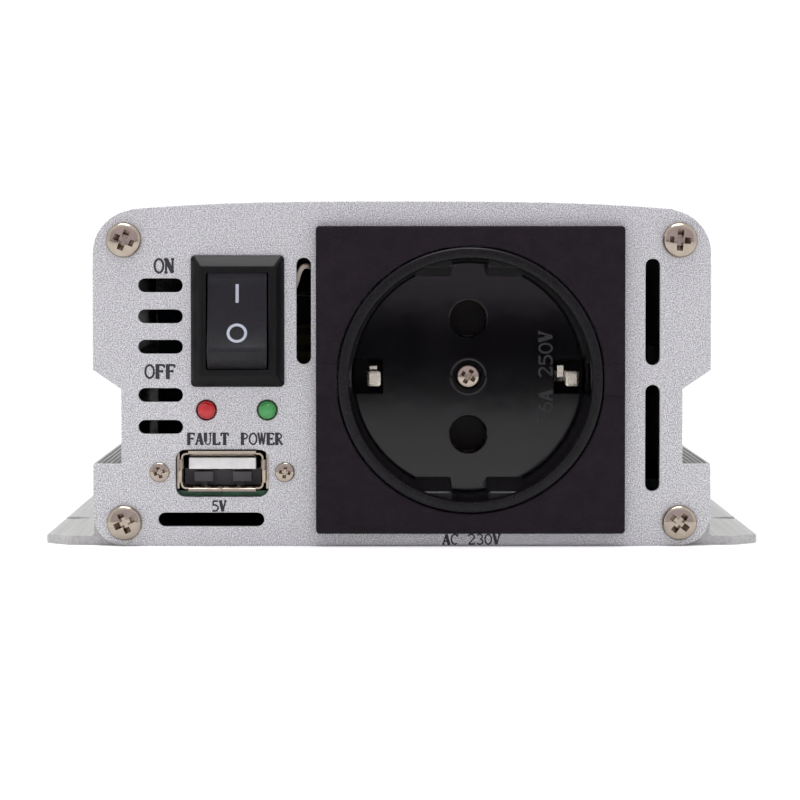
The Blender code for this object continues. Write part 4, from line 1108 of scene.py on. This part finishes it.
def stage_plane(name, corners, color, camera=True):
    """A flat card or floor; its look is a plain matt colour with a faint mottle."""
    mesh = bpy.data.meshes.new(name)
    mesh.from_pydata([Vector(corner) for corner in corners], [], [(0, 1, 2, 3)])
    made = add_object(name, mesh)
    material, tree, shader = new_material(name)
    shader.inputs["Roughness"].default_value = 0.9
    shader.inputs["Specular IOR Level"].default_value = 0.1
    paint(tree, shader, grain(tree, 8, detail=2.0), [(0.3, tinted(color, 0.99)), (0.7, color)])
    mesh.materials.append(material)
    made.visible_camera = camera
    return made


def mirrored_only(card):
    """Let a card show in reflections without shading the floor under it."""
    card.visible_shadow = False
    card.visible_diffuse = False


def area_light(name, where, look_at, size, power):
    data = bpy.data.lights.new(name, "AREA")
    data.shape = "RECTANGLE"
    data.size, data.size_y = size
    data.energy = power
    made = add_object(name, data)
    made.location = where
    made.rotation_euler = (Vector(look_at) - Vector(where)).to_track_quat("-Z", "Y").to_euler()


def make_studio():
    """A white room lit from above, with a grey wall and a dark apron where the camera stands."""
    stage_plane("floor", [(-9, -9, 0), (9, -9, 0), (9, 9, 0), (-9, 9, 0)], (0.90, 0.90, 0.90))
    wall = [(-1.5, -1.1, 0.0), (1.5, -1.1, 0.0), (1.3, -0.9, 0.95), (-1.3, -0.9, 0.95)]
    stage_plane("grey_wall", wall, (0.78, 0.71, 0.80), camera=False)
    apron = [(-1.2, -0.77, 0.002), (1.2, -0.77, 0.002), (1.2, -0.58, 0.002), (-1.2, -0.58, 0.002)]
    mirrored_only(stage_plane("dark_apron", apron, (0.01, 0.01, 0.012), camera=False))
    stand = [(-0.9, -0.765, 0.003), (0.9, -0.765, 0.003), (0.9, -0.765, 0.0275), (-0.9, -0.765, 0.0275)]
    mirrored_only(stage_plane("dark_stand", stand, (0.004, 0.004, 0.005), camera=False))
    world = bpy.data.worlds.new("studio")
    world.use_nodes = True
    bpy.context.scene.world = world
    background = world.node_tree.nodes["Background"]
    background.inputs["Color"].default_value = (1, 1, 1, 1)
    background.inputs["Strength"].default_value = 1.12
    area_light("overhead", (-0.05, -0.13, 0.62), (-0.02, -0.06, 0.03), (0.42, 0.26), 2.5)


def make_camera():
    """A long lens straight in front of the outlet end, level with the top of the panel."""
    data = bpy.data.cameras.new("camera")
    data.sensor_width = 36.0
    data.lens = 180.6
    data.clip_start = 0.01
    data.clip_end = 20.0
    made = add_object("camera", data)
    made.location = Vector((-2.66, FRONT_Y - 640.0, 48.0)) * MM
    made.rotation_euler = (math.radians(90 - 2.21), 0, math.radians(-0.21))
    bpy.context.scene.camera = made


def main():
    make_camera()
    make_case()
    make_front_plate()
    make_rear_plate()
    make_screws()
    make_switch_housing()
    make_rocker()
    make_indicators()
    make_usb()
    make_socket_face()
    make_socket_cup()
    make_socket_floor()
    make_earth_strap()
    make_labels()
    make_rating()
    make_terminals()
    make_inner_wire()
    paint_nodes()
    make_studio()
    bpy.context.scene.view_settings.view_transform = "Standard"


main()
